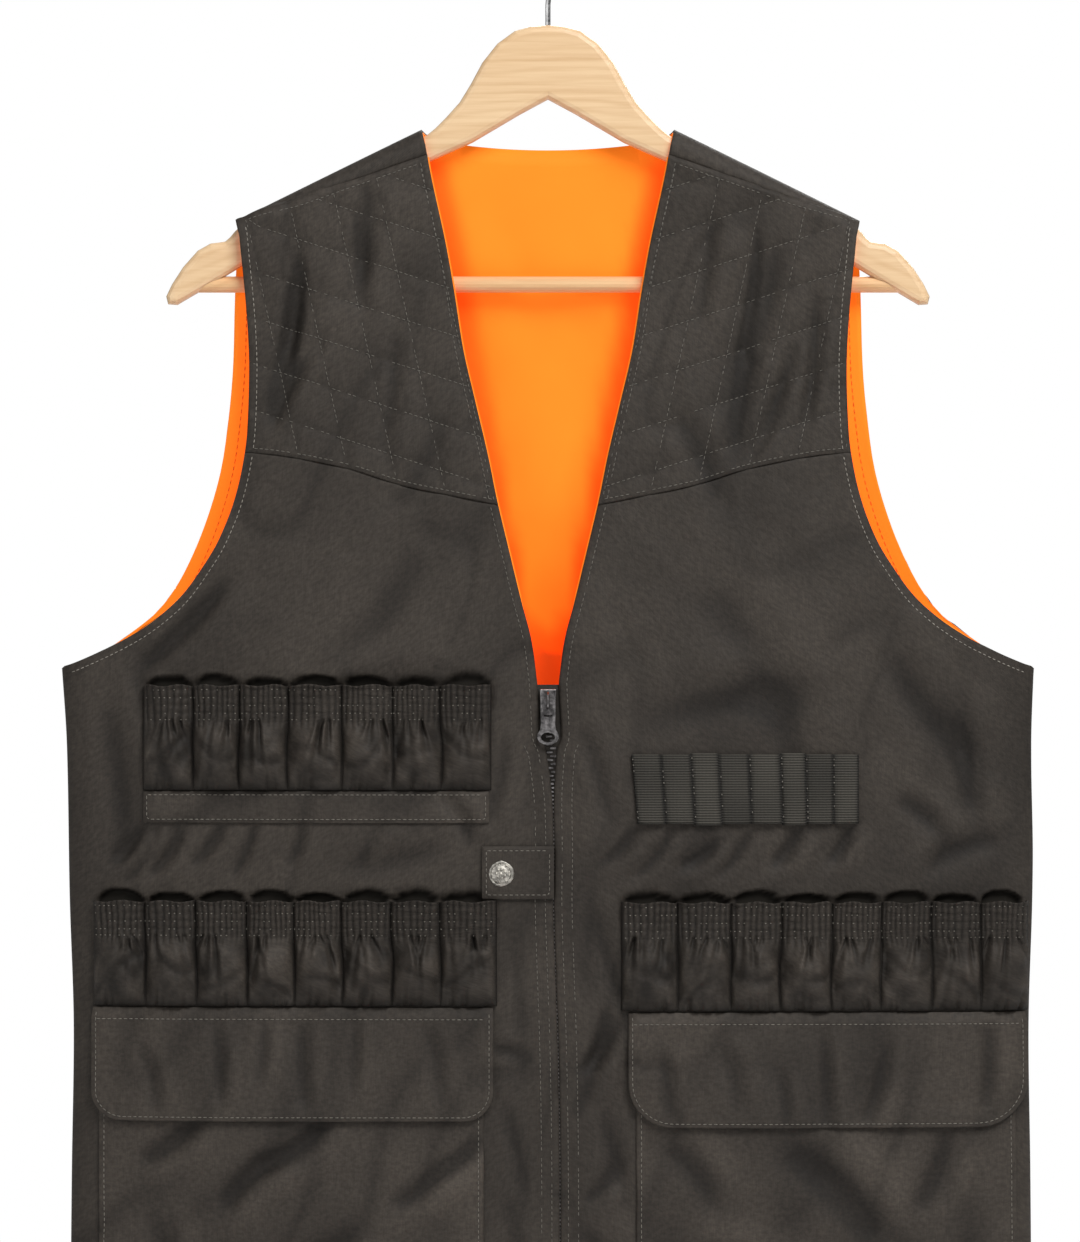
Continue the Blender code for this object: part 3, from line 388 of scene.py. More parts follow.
class GiletCloth(bpy.types.PropertyGroup):
    """Colours and fullness of the cloth."""

    shell: colour_setting("Shell", "Colour of the outer cloth", (0.0362, 0.0301, 0.0246))
    lining: colour_setting("Reverse side", "Colour of the reverse side", (0.93, 0.232, 0.016))
    thread: colour_setting("Thread", "Colour of the topstitching", (0.19, 0.175, 0.15))
    creasing: bpy.props.FloatProperty(
        name="Creasing", description="Strength of the creases in the cloth", default=1.8,
        min=0.0, max=2.5,
    )
    stitch_pitch: bpy.props.FloatProperty(
        name="Stitch", description="Length of one stitch", default=3.2 * MM,
        min=2.0 * MM, max=6.0 * MM, unit="LENGTH",
    )
    thread_width: bpy.props.FloatProperty(
        name="Thread width", description="Thickness of the thread", default=0.62 * MM,
        min=0.2 * MM, max=1.2 * MM, unit="LENGTH",
    )


class GiletHanger(bpy.types.PropertyGroup):
    """Colours of the hanger and of the metal."""

    wood: colour_setting("Wood", "Colour of the hanger's wood", (0.78, 0.56, 0.335))
    zip_metal: colour_setting("Zip", "Colour of the zip's metal", (0.2, 0.19, 0.19))
    snap_metal: colour_setting("Press stud", "Colour of the stud's metal", (0.42, 0.40, 0.36))


class GiletStudio(bpy.types.PropertyGroup):
    """Light and camera."""

    distance: bpy.props.FloatProperty(
        name="Distance", description="From the camera to the gilet's front", default=4.0,
        min=1.0, unit="LENGTH",
    )
    sky: bpy.props.FloatProperty(
        name="Sky", description="Light from the white surroundings", default=0.27, min=0.0,
    )


def read(rows, at, column, key="drop"):
    """A column's values where the key reaches `at`, on a smooth curve through the rows."""
    keys = np.array([row[key] for row in rows])
    values = np.array([row[column] for row in rows])
    at = np.clip(np.asarray(at, dtype=float), keys[0], keys[-1])
    index = np.clip(np.searchsorted(keys, at, side="right") - 1, 0, len(keys) - 2)
    slopes = np.empty(len(keys))
    slopes[1:-1] = (values[2:] - values[:-2]) / (keys[2:] - keys[:-2])
    slopes[0] = (values[1] - values[0]) / (keys[1] - keys[0])
    slopes[-1] = (values[-1] - values[-2]) / (keys[-1] - keys[-2])
    span = keys[index + 1] - keys[index]
    t = (at - keys[index]) / span
    start = values[index] * (1 + 2 * t) * (1 - t) ** 2 + slopes[index] * span * t * (1 - t) ** 2
    end = values[index + 1] * t * t * (3 - 2 * t) + slopes[index + 1] * span * t * t * (t - 1)
    return start + end


def mix(a, b, share):
    """From a to b by a share."""
    return a + (b - a) * share


def smooth(value):
    """0 to 1 with level ends."""
    value = np.clip(value, 0.0, 1.0)
    return value * value * (3 - 2 * value)


def bell(value):
    """1 at zero, falling softly to both sides."""
    return np.exp(-value * value)


def ridge(x):
    """Height of the shoulder line at x, for the lining's inside."""
    run = np.hypot(x, RIDGE_SOFT) - math.hypot(NECK_HALF, RIDGE_SOFT)
    return -(RIDGE_DROP + RIDGE_SLOPE * run)


def side_half(height, hand):
    """Half width of the body to the lining's inside at the side seam."""
    extra = read(LEFT_FULLNESS, -height, "extra")
    return read(SIDE, -height, "half") + np.where(np.asarray(hand) > 0, extra, 0.0)


def body_depth(x, height):
    """How far the front or back stands from the middle plane: a flat oval, blunt at the sides."""
    across = np.maximum(1.0 - (x / side_half(height, x)) ** 2, 0.0)
    return read(DEPTH, -height, "depth") * across ** BLUNT


def skin(x, along):
    """Points of the lining's inside, over the rounded shoulder and down the body."""
    run = np.abs(along)
    turn = np.minimum(run, QUARTER) / FOLD
    bent = run < QUARTER
    fall = np.where(bent, FOLD * (1 - np.cos(turn)), FOLD + run - QUARTER)
    full = body_depth(x, ridge(x) - fall)
    below = mix(FOLD, full, smooth((fall - FOLD) / SPREAD))
    depth = np.where(bent, FOLD * np.sin(turn), below)
    return np.stack([x, -np.copysign(depth, along), ridge(x) - fall], axis=-1)


def drop_at(x, along):
    """Drop of the lining's inside at a distance over the cloth."""
    return -skin(x, along)[..., 2]


def along_at(x, height):
    """Distance over the cloth from the shoulder line down to a height."""
    fall = np.maximum(ridge(x) - height, 0.0)
    bent = FOLD * np.arccos(np.clip(1 - fall / FOLD, -1.0, 1.0))
    return np.where(fall < FOLD, bent, QUARTER + fall - FOLD)


def unit(vectors):
    """Vectors scaled to length 1."""
    return vectors / np.linalg.norm(vectors, axis=-1, keepdims=True)


def laid(x, along, out):
    """Points moved out from the lining's inside, kept to their own side of the side seams."""
    x, along, out = np.broadcast_arrays(x, along, out)
    points = skin(x, along)
    half = side_half(points[..., 2], x)
    angle = np.arcsin(np.clip(x / half, -1.0, 1.0))
    before = half * np.sin(np.maximum(angle - NORMAL_TURN, -math.pi / 2))
    after = half * np.sin(np.minimum(angle + NORMAL_TURN, math.pi / 2))
    across = skin(after, along) - skin(before, along)
    down = skin(x, along + NORMAL_STEP) - skin(x, along - NORMAL_STEP)
    points = points + unit(np.cross(down, across)) * out[..., None]
    closed = ridge(x) - points[..., 2] > CLOSED_BELOW
    kept = np.where(
        along > 0, np.minimum(points[..., 1], LAPPED), np.maximum(points[..., 1], -LAPPED)
    )
    points[..., 1] = np.where(closed, kept, points[..., 1])
    return points


def inner_edge(height, hand):
    """The neckline, and below it the front's edge beside the zip."""
    below = read(ZIP_LINE, -height, "x") + hand * read(FRONT_GAP, -height, "half")
    return np.where(-height < V_BOTTOM, hand * read(NECKLINE, -height, "half"), below)


def lining_edge(height, hand):
    """The lining's edge: a little behind the neckline, then beside the zip's tape."""
    half = np.maximum(read(NECKLINE, -height, "half"), read(LINING_EDGE, -height, "half"))
    edge = read(ZIP_LINE, -height, "x") + hand * half
    return edge - hand * LINING_SHOWS * (-height < V_BOTTOM)


def outer_edge(height, hand, armhole):
    """The armhole, and below it the side seam."""
    half = side_half(height, hand)
    cut = np.minimum(half, read(armhole, -height, "half"))
    return hand * np.where(-height < UNDERARM, cut, half)


def shoulder_seam(x):
    """The front shoulder seam: well down the front at the neck, on the ridge at the tip."""
    tip = FRONT_ARMHOLE[0]["half"]
    share = (np.abs(x) - WRAP[0]["half"]) / (tip - WRAP[0]["half"])
    return mix(WRAP[0]["neck"], WRAP[0]["tip"], np.clip(share, 0.0, 1.0))


def yoke_seam(x):
    """Where the seam between a yoke and its lower front lies over the cloth."""
    return along_at(x, -read(YOKE_SEAM, np.abs(x), "drop", key="half"))


def settle(hand, top_at, foot_at, inner_at, share, spread):
    """x and along of a front panel's points, `share` of the way down and `spread` across."""
    share, spread = np.broadcast_arrays(share[:, None], spread[None, :])

    def x_at(height):
        return mix(inner_at(height, hand), outer_edge(height, hand, FRONT_ARMHOLE), spread)

    x = x_at(-HEM / 2)
    for _ in range(SETTLING):
        along = mix(top_at(x), foot_at(x), share)
        x = x_at(-drop_at(x, along))
    return x, along


def lattice(seed, x, y, cell):
    """Soft noise from -1 to 1 with a given cell size."""
    table = np.random.default_rng(seed).uniform(-1.0, 1.0, (256, 256))
    column, row = np.asarray(x) / cell + 97.0, np.asarray(y) / cell + 61.0
    left, top = np.floor(column).astype(int), np.floor(row).astype(int)
    u, v = smooth(column - left), smooth(row - top)

    def corner(i, j):
        return table[(top + j) % 256, (left + i) % 256]

    upper = mix(corner(0, 0), corner(1, 0), u)
    lower = mix(corner(0, 1), corner(1, 1), u)
    return mix(upper, lower, v)


def folds(rows, x, drop):
    """Rise of the cloth in soft creases, each a trough with a low lip beside it."""
    rise = np.zeros_like(x)
    for row in rows:
        run, fall = row["to_x"] - row["x"], row["to_drop"] - row["drop"]
        length = math.hypot(run, fall)
        ahead = ((x - row["x"]) * run + (drop - row["drop"]) * fall) / length ** 2
        aside = ((x - row["x"]) * fall - (drop - row["drop"]) * run) / length
        t = np.clip(ahead, 0.0, 1.0)
        over = (ahead - t) * length / row["width"]
        aside = (aside - row["bow"] * 4 * t * (1 - t)) / row["width"]
        fade = bell(over) * (0.35 + 0.65 * np.sqrt(4 * t * (1 - t)))
        rise += row["depth"] * fade * (bell(aside) - 0.45 * bell((aside - 1.7) / 1.2))
    return rise * bpy.context.scene.gilet_cloth.creasing


def mouths(x, drop):
    """From 0 to 1 behind and just above the loops' open mouths, where the cloth dips and has
    painted shade.
    """
    deep = np.zeros_like(x)
    for number, row in enumerate(LOOP_ROWS.values()):
        top = row["top"] * MM
        for index, (start, end) in enumerate(zip(row["dividers"], row["dividers"][1:])):
            middle, half = (start + end) / 2 * MM, (end - start) / 2 * MM
            rise = MOUTH_RISE * (1.0 + 0.22 * math.sin(index * 2.3 + number * 1.7))
            lean = 0.15 * math.sin(index * 1.9 + number)
            across = (x - middle) / (half * 0.93)
            above = np.maximum(top - drop, 0.0) / rise
            leaning = 1.0 + lean * np.clip(across, -1.0, 1.0)
            dome = 1.0 - np.abs(across) ** 2.4 - (above * leaning) ** 1.6
            within = smooth(dome * 4.0) * smooth(1.0 - (drop - top) / (22 * MM))
            deep = np.maximum(deep, within * (np.abs(x - middle) < half * 1.05))
    return deep


def side_fade(x, drop, reach):
    """From 0 at the side seams to 1 beyond a share of the half width."""
    return smooth((1.0 - np.abs(x) / side_half(-drop, x)) / reach)


def ends_free(x, drop):
    """Fades the creases out toward the side seams and the zip."""
    centre = smooth((np.abs(x) - 9 * MM) / (16 * MM))
    return side_fade(x, drop, 0.05) * np.where(drop > V_BOTTOM - 20 * MM, centre, 1.0)


def rumples(seed, x, drop, cell):
    """From 0 to 1: soft ground between narrow, wandering troughs."""
    aside = x + 0.35 * drop + 0.3 * cell * lattice(seed + 1, x, drop, 1.7 * cell)
    down = 0.42 * drop + 0.3 * cell * lattice(seed + 2, x, drop, 1.7 * cell)
    return np.minimum(np.abs(lattice(seed, aside, down, cell)) * 2.4, 1.0)


def front_rumples(x, drop):
    """The front's rumples, from 0 to 1."""
    return rumples(31, x, drop, 34 * MM)


def back_rumples(x, drop):
    """The back's rumples, from 0 to 1."""
    return rumples(51, x, drop, 44 * MM)


def front_waves(x, drop):
    """Rise of the front's cloth, lining and shell together."""
    waves = UNDULATION * lattice(3, x, drop * 0.6, 62 * MM)
    waves += 0.35 * UNDULATION * lattice(4, x + 0.3 * drop, drop * 0.7, 24 * MM)
    waves += RUMPLE * front_rumples(x, drop) + 0.45 * RUMPLE * rumples(41, x, drop, 15 * MM)
    return (waves + folds(FRONT_FOLDS, x, drop)) * ends_free(x, drop)


def front_rise(x, drop):
    """Rise of the front's cloth, pressed back behind the mouths of the loops."""
    return front_waves(x, drop) - MOUTH_DEEP * mouths(x, drop)


def troughs(creases, rumpled):
    """Painted shade up to 1 in the creases and rumples, and painted highlight below zero on lips
    and soft ground.
    """
    deep = np.clip(-creases / (2.4 * MM), 0.0, 1.0)
    lips = np.clip(creases / (1.2 * MM), 0.0, 1.0)
    return np.maximum(0.72 * deep, 0.32 * (1.0 - rumpled)) - 0.36 * lips - 0.12 * rumpled


def lining_rise(x, drop):
    """Rise of the front's reverse side, which lies well behind the loops' mouths."""
    deep = np.zeros_like(x)
    for row in LOOP_ROWS.values():
        left, right, top = row["dividers"][0] * MM, row["dividers"][-1] * MM, row["top"] * MM
        over = smooth((x - left) / (6 * MM) + 1) * smooth((right - x) / (6 * MM) + 1)
        down = smooth((drop - top) / (6 * MM) + 2.2) * smooth((top - drop) / (10 * MM) + 3.2)
        deep = np.maximum(deep, over * down)
    beside = (-BEHIND, 0.0, BEHIND)
    clear = np.min([front_waves(x + aside, drop + down) for aside in beside for down in beside],
                   axis=0)
    rise = mix(front_rise(x, drop), clear, side_fade(x, drop, 0.1))
    return rise - 1.25 * MOUTH_DEEP * deep


def back_rise(x, drop):
    """Rise of the back's cloth."""
    waves = 1.5 * UNDULATION * lattice(8, x, drop * 0.5, 80 * MM)
    waves += 0.3 * UNDULATION * lattice(9, x - 0.2 * drop, drop * 0.7, 26 * MM)
    waves += RUMPLE * back_rumples(x, drop) + 0.4 * RUMPLE * rumples(61, x, drop, 18 * MM)
    lower = smooth((drop - 150 * MM) / (60 * MM))
    return (waves + folds(BACK_FOLDS, x, drop)) * side_fade(x, drop, 0.06) * lower


def quilting(x, height, hand):
    """The cloth's rise between two crossing families of stitched lines."""
    reach = hand * x
    rising = (-height + reach * QUILT_RISE) / QUILT_CELL
    leaning = (reach - height * QUILT_LEAN) / QUILT_CELL
    between = np.abs(np.sin(math.pi * rising)) * np.abs(np.sin(math.pi * leaning))
    puckers = lattice(71, 1.6 * x + 0.4 * height, height - 0.5 * x, 8 * MM)
    return QUILT * between ** 0.38 + 0.22 * MM * puckers * (1.0 - between)


def sewn_on(x, height, out):
    """Points of a piece sewn on the front's outside, a little freer where the side turns."""
    share = np.abs(x) / side_half(height, x)
    freer = SIDE_CLEAR * smooth((share - SIDE_TURN) / SIDE_TURN_OVER)
    return laid(x, along_at(x, height), LAID + freer + out + front_waves(x, -height))


def maths(operation, turned=False):
    """A method that makes a Math node of a signal and another, in turned order if asked."""
    def method(self, *others):
        values = (*others, self) if turned else (self, *others)
        return self.finish.node("ShaderNodeMath", {"operation": operation}, values)
    return method


class Signal:
    """A socket of a finish, with arithmetic."""

    def __init__(self, finish, socket):
        self.finish = finish
        self.socket = socket

    __add__ = maths("ADD")
    __radd__ = maths("ADD", turned=True)
    __sub__ = maths("SUBTRACT")
    __rsub__ = maths("SUBTRACT", turned=True)
    __mul__ = maths("MULTIPLY")
    __rmul__ = maths("MULTIPLY", turned=True)
    __pow__ = maths("POWER")
    sine = maths("SINE")

    def clamped(self):
        settings = {"operation": "ADD", "use_clamp": True}
        return self.finish.node("ShaderNodeMath", settings, (self, 0.0))


class Nodes:
    """The node tree of a material or of the surroundings."""

    def __init__(self, owner):
        owner.use_nodes = True
        self.tree = owner.node_tree

    def node(self, kind, settings, values=(), output=0):
        """A node with its settings, then the values or links of its sockets."""
        made = self.tree.nodes.new(kind)
        for key, value in settings.items():
            setattr(made, key, value)
        pairs = values.items() if isinstance(values, dict) else enumerate(values)
        for slot, value in pairs:
            self.put(made.inputs[slot], value)
        return Signal(self, made.outputs[output])

    def put(self, socket, value):
        if isinstance(value, Signal):
            self.tree.links.new(value.socket, socket)
        elif hasattr(socket.default_value, "__len__") and len(value) == 3:
            socket.default_value = (*value, 1.0)[:len(socket.default_value)]
        else:
            socket.default_value = value


class Finish(Nodes):
    """A material and its node tree."""

    def __init__(self, name):
        self.material = bpy.data.materials.new(name)
        super().__init__(self.material)
        self.shader = self.tree.nodes["Principled BSDF"]

    def blend(self, share, first, second):
        """Two colours mixed."""
        values = {0: share, 6: first, 7: second}
        return self.node("ShaderNodeMix", {"data_type": "RGBA"}, values, output=2)

    def place(self, source="Object"):
        return self.node("ShaderNodeTexCoord", {}, output=source)

    def parts(self, vector):
        """x, y and z of a vector."""
        split = self.node("ShaderNodeSeparateXYZ", {}, [vector]).socket.node
        return [Signal(self, output) for output in split.outputs]

    def stretched(self, vector, scale):
        return self.node("ShaderNodeMapping", {}, {0: vector, 3: scale})

    def noise(self, vector, scale, detail=3.0, roughness=0.5):
        values = {"Vector": vector, "Scale": scale, "Detail": detail, "Roughness": roughness}
        return self.node("ShaderNodeTexNoise", {}, values)

    def attribute(self, name):
        return self.node("ShaderNodeAttribute", {"attribute_name": name}, output="Fac")

    def ranged(self, value, low, high, to_low=0.0, to_high=1.0):
        settings = {"interpolation_type": "SMOOTHSTEP", "clamp": True}
        return self.node("ShaderNodeMapRange", settings, [value, low, high, to_low, to_high])

    def bump(self, height, distance, strength=1.0, normal=None):
        values = {"Strength": strength, "Distance": distance, "Height": height}
        if normal is not None:
            values["Normal"] = normal
        return self.node("ShaderNodeBump", {}, values)

    def surface(self, **values):
        """Sets or links the shader's sockets, named with underscores for spaces."""
        for name, value in values.items():
            self.put(self.shader.inputs[name.replace("_", " ")], value)
        return self.material

    def painted_shade_mix(self, share, colour):
        """Mixes the surface with a dull dark one, as painted shade."""
        dull = self.node("ShaderNodeBsdfDiffuse", {}, {"Color": colour})
        lit = Signal(self, self.shader.outputs["BSDF"])
        mixed = self.node("ShaderNodeMixShader", {}, {0: share, 1: lit, 2: dull})
        self.put(self.tree.nodes["Material Output"].inputs["Surface"], mixed)
        return self.material


def tinted(colour, *shares):
    """A colour times one share, or times a share for each channel."""
    return tuple(channel * share for channel, share in zip(colour, shares * 3))


def woven(finish, pitch, twill=True):
    """Height of a weave on the piece's own cloth coordinates, and those coordinates."""
    cloth = finish.place("UV")
    across, along, _ = finish.parts(cloth)
    turns = 2 * math.pi / pitch
    if not twill:
        return (across * turns).sine() * (along * turns).sine(), cloth
    ribs = ((across + along) * turns).sine()
    threads = ((across - along * 0.4) * (turns * 2.1)).sine() * 0.4
    return ribs + threads, cloth


def shell_cloth(name, shade=1.0):
    """Dark cotton twill, a little uneven in tone, with painted shade in its creases and deep
    hollows.
    """
    finish = Finish(name)
    colour = bpy.context.scene.gilet_cloth.shell
    weave, cloth = woven(finish, 0.9 * MM)
    broad = finish.noise(cloth, 9.0, 4.0, 0.55)
    slubs = finish.noise(finish.stretched(cloth, (1400.0, 120.0, 1.0)), 1.0, 2.0)
    worn = finish.noise(finish.stretched(cloth, (300.0, 420.0, 1.0)), 1.0, 4.0, 0.65)
    hollow = finish.attribute("hollow")
    tone = finish.ranged(broad, 0.32, 0.68, 0.80, 1.16) * finish.ranged(slubs, 0.3, 0.7, 0.88, 1.12)
    tone = tone * finish.ranged(worn, 0.3, 0.7, 0.78, 1.22)
    # Painted shade darkens the colour in the creases and hollows, and painted highlight lightens it
    # on their lips
    depth = 1.0 - hollow * 0.85
    dark, light = tinted(colour, shade * 0.02), tinted(colour, shade * 2.0)
    base = finish.blend((tone * depth * 0.55).clamped(), dark, light)
    wrinkles = finish.noise(finish.stretched(cloth, (60.0, 42.0, 1.0)), 1.0, 4.0, 0.6)
    soft = finish.bump(wrinkles, 2.2 * MM, 0.6)
    finish.surface(
        Base_Color=base,
        Roughness=finish.ranged(slubs, 0.3, 0.7, 0.56, 0.7),
        Specular_IOR_Level=0.2,
        Normal=finish.bump(weave, 0.05 * MM, 0.5, soft),
    )
    # The loops' mouths, where the painted shade is deepest, get a dull dark surface mixed in as
    # painted shade
    return finish.painted_shade_mix(finish.ranged(hollow, 0.74, 0.98), PAINTED_SHADE_DARK)


def lining_cloth():
    """Smooth bright orange polyester, with painted shade and a faint glow of painted light."""
    finish = Finish("blaze_polyester")
    colour = bpy.context.scene.gilet_cloth.lining
    weave, cloth = woven(finish, 0.6 * MM, twill=False)
    broad = finish.noise(cloth, 7.0, 3.0, 0.5)
    deeper = tinted(colour, 0.96, 0.88, 0.8)
    base = finish.blend(finish.ranged(broad, 0.3, 0.7), deeper, tuple(colour))
    # Painted shade: redder beside the V's edges, darker still at the V's tip
    shaded = finish.ranged(finish.attribute("hollow"), 0.0, 0.75)
    base = finish.blend(shaded, base, tinted(colour, 0.98, 0.50, 0.4))
    inmost = finish.ranged(finish.attribute("hollow"), 0.77, 1.0)
    base = finish.blend(inmost, base, tinted(colour, 0.52, 0.33, 0.5))
    wrinkles = finish.noise(finish.stretched(cloth, (26.0, 16.0, 1.0)), 1.0, 3.0, 0.5)
    soft = finish.bump(wrinkles, 1.6 * MM, 0.35)
    return finish.surface(
        Base_Color=base,
        Roughness=finish.ranged(broad, 0.2, 0.8, 0.6, 0.7),
        Specular_IOR_Level=0.1,
        # A faint glow, painted light that keeps the orange bright in its own shadows
        Emission_Color=base,
        Emission_Strength=0.36,
        Normal=finish.bump(weave, 0.03 * MM, 0.4, soft),
    )


def webbing_cloth():
    """Ribbed elastic webbing, near black, with painted shade."""
    finish = Finish("ribbed_elastic")
    colour = bpy.context.scene.gilet_cloth.shell
    cloth = finish.place("UV")
    across, along, _ = finish.parts(cloth)
    ribs = (along * (2 * math.pi / (1.5 * MM))).sine()
    picks = (across * (2 * math.pi / (0.8 * MM))).sine() * 0.5
    # Darker between the ribs, and darker by painted shade beside the dividers and from loop to loop
    tone = finish.ranged(ribs, -1.0, 1.0, 0.35, 1.0) * (1.0 - finish.attribute("hollow"))
    base = finish.blend(tone, tinted(colour, 0.12), tinted(colour, 2.0, 2.2, 2.2))
    return finish.surface(
        Base_Color=base,
        Roughness=finish.ranged(ribs, -1.0, 1.0, 0.8, 0.62),
        Specular_IOR_Level=0.3,
        Normal=finish.bump(ribs + picks, 0.25 * MM, 0.8),
    )


def thread_finish(name, colour):
    """Twisted sewing thread."""
    finish = Finish(name)
    spot = finish.place("Object")
    tone = finish.noise(spot, 900.0, 2.0)
    base = finish.blend(finish.ranged(tone, 0.3, 0.7), tinted(colour, 0.6), tuple(colour))
    rough = finish.ranged(tone, 0.3, 0.7, 0.6, 0.8)
    return finish.surface(Base_Color=base, Roughness=rough, Specular_IOR_Level=0.3)


def pale_wood(name, *shares):
    """Clear-varnished pine, its grain along the hanger."""
    finish = Finish(name)
    colour = tinted(bpy.context.scene.gilet_hanger.wood, *shares)
    spot = finish.place("Object")
    drift = finish.noise(finish.stretched(spot, (5.0, 20.0, 20.0)), 1.0, 3.0, 0.55)
    grain = finish.noise(finish.stretched(spot, (14.0, 260.0, 420.0)), 1.0, 5.0, 0.65)
    across, _, up = finish.parts(spot)
    rings = ((up * 900.0 + drift * 26.0 + (across * across) * 900.0).sine() * 0.5 + 0.5) ** 2.0
    fibre = finish.ranged(grain, 0.35, 0.7)
    share = (rings * 0.24 + fibre * 0.34 + finish.ranged(drift, 0.3, 0.7) * 0.22).clamped()
    base = finish.blend(share, colour, tinted(colour, 0.74, 0.62, 0.50))
    return finish.surface(
        Base_Color=base,
        Roughness=finish.ranged(grain, 0.3, 0.7, 0.34, 0.5),
        Specular_IOR_Level=0.4,
        Coat_Weight=finish.ranged(drift, 0.3, 0.7, 0.2, 0.35),
        Coat_Roughness=0.25,
        Normal=finish.bump(grain, 0.12 * MM, 0.35),
    )


def worn_metal(name, colour, rough, pitted, edge=1.7):
    """Plated metal with a dull, uneven film."""
    finish = Finish(name)
    spot = finish.place("Object")
    film = finish.noise(spot, 420.0, 5.0, 0.6)
    broad = finish.noise(spot, 90.0, 3.0, 0.5)
    share = finish.ranged(film * 0.6 + broad * 0.4, 0.36, 0.64)
    base = finish.blend(share, tinted(colour, 0.55), tinted(colour, edge))
    return finish.surface(
        Base_Color=base,
        Metallic=1.0,
        Roughness=finish.ranged(film, 0.3, 0.7, rough * 0.75, rough * 1.35),
        Normal=finish.bump(film, pitted, 0.5),
    )


def plain_floor():
    """Pale studio floor."""
    finish = Finish("studio_floor")
    tone = finish.noise(finish.place("Object"), 3.0, 3.0)
    base = finish.blend(tone, (0.80, 0.80, 0.80), (0.84, 0.84, 0.84))
    return finish.surface(Base_Color=base, Roughness=0.9, Specular_IOR_Level=0.1)


def finish_of(name):
    """A finish by its name, made the first time it is asked for."""
    found = bpy.data.materials.get(name)
    if found is not None:
        return found
    cloth = bpy.context.scene.gilet_cloth
    hanger = bpy.context.scene.gilet_hanger
    makers = {
        "twill": lambda: shell_cloth(name),
        "quilted_twill": lambda: shell_cloth(name, 1.04),
        "gathered_twill": lambda: shell_cloth(name, 0.95),
        "zip_tape": lambda: shell_cloth(name, 0.5),
        "blaze_polyester": lining_cloth,
        "ribbed_elastic": webbing_cloth,
        "topstitch_thread": lambda: thread_finish(name, cloth.thread),
        "pale_thread": lambda: thread_finish(name, tinted(cloth.thread, 1.6)),
        "faded_thread": lambda: thread_finish(name, tinted(cloth.thread, 0.8)),
        "orange_thread": lambda: thread_finish(name, THREAD_ORANGE),
        "pine": lambda: pale_wood(name, 1.0),
        # The bar's wood is tinted warmer: a painted reflection of the orange lining behind it
        "bar_pine_painted_reflection": lambda: pale_wood(name, 1.0, 0.9, 0.78),
        "bright_wire": lambda: worn_metal(name, STEEL, 0.26, 0.01 * MM, 1.2),
        "gunmetal": lambda: worn_metal(name, hanger.zip_metal, 0.36, 0.04 * MM),
        "nickel": lambda: worn_metal(name, hanger.snap_metal, 0.4, 0.1 * MM),
        "studio_floor": plain_floor,
    }
    return makers[name]()


def mesh_of(name, bm, soft=True):
    """The mesh of a bmesh, which is freed."""
    mesh = bpy.data.meshes.new(name)
    bm.to_mesh(mesh)
    bm.free()
    if soft:
        mesh.shade_smooth()
    return mesh


def placed(name, data):
    """A new object in the scene."""
    item = bpy.data.objects.new(name, data)
    bpy.context.scene.collection.objects.link(item)
    return item


def add(name, mesh, finish, replaces=None):
    """A finished piece on the garment."""
    piece = placed(name, mesh)
    mesh.materials.append(finish_of(finish))
    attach(piece, "garment")
    if replaces:
        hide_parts(replaces)
    return piece


def sheet_mesh(name, points, cloth, hollow=None, keep=None):
    """A sheet through a grid of points, with its cloth coordinates in metres and its painted
    shading.
    """
    rows, columns = points.shape[0] - 1, points.shape[1] - 1
    bm = bmesh.new()
    bmesh.ops.create_grid(bm, x_segments=columns, y_segments=rows, size=0.5)
    bm.verts.ensure_lookup_table()
    places = [
        (round((0.5 - v.co.y) * rows), round((v.co.x + 0.5) * columns)) for v in bm.verts
    ]
    if keep is not None:
        dropped = []
        for face in bm.faces:
            middle = face.calc_center_median()
            if not keep((middle.x + 0.5) * columns, (0.5 - middle.y) * rows):
                dropped.append(face)
    # Painted shading of each point: painted shade above zero, painted highlight below it
    shade = bm.verts.layers.float.new("hollow")
    layer = bm.loops.layers.uv.new("cloth")
    for point, (row, column) in zip(bm.verts, places):
        point.co = points[row, column]
        point[shade] = 0.0 if hollow is None else float(hollow[row, column])
    for face in bm.faces:
        for corner in face.loops:
            corner[layer].uv = cloth[places[corner.vert.index]]
    if keep is not None:
        bmesh.ops.delete(bm, geom=dropped, context="FACES")
    return mesh_of(name, bm)


def panel(name, points, cloth, wall, finish, hollow=None, keep=None,
          faces=FRONTWARD):
    """A cut piece of cloth as a fine sheet with a wall, in place of its plain solid."""
    cloth = np.stack(cloth, axis=-1)
    across, down = np.diff(points, axis=1)[:-1], np.diff(points, axis=0)[:, :-1]
    if np.cross(down, across)[..., 1].mean() * faces < 0:
        points, cloth = points[:, ::-1], cloth[:, ::-1]
        # The painted shading turns with the grid
        hollow = None if hollow is None else hollow[:, ::-1]
    mesh = sheet_mesh(name, points, cloth, hollow, keep)
    piece = add(name + "_cloth", mesh, finish, name)
    thick = piece.modifiers.new("wall", "SOLIDIFY")
    thick.thickness = wall
    thick.offset = -1.0
    thick.use_rim = True


def dense(start, end, coarse, fine=None, near=(), reach=12 * MM):
    """Places from start to end, closer together near the given ones."""
    steps = np.linspace(start, end, 2000)
    spacing = np.full_like(steps, coarse)
    for place in near:
        close = bell((steps - place) / reach)
        spacing = np.minimum(spacing, mix(coarse, fine, close))
    count = np.concatenate([[0.0], np.cumsum(np.diff(steps) / spacing[1:])])
    total = max(int(round(count[-1])), 1)
    return np.interp(np.linspace(0, count[-1], total + 1), count, steps)


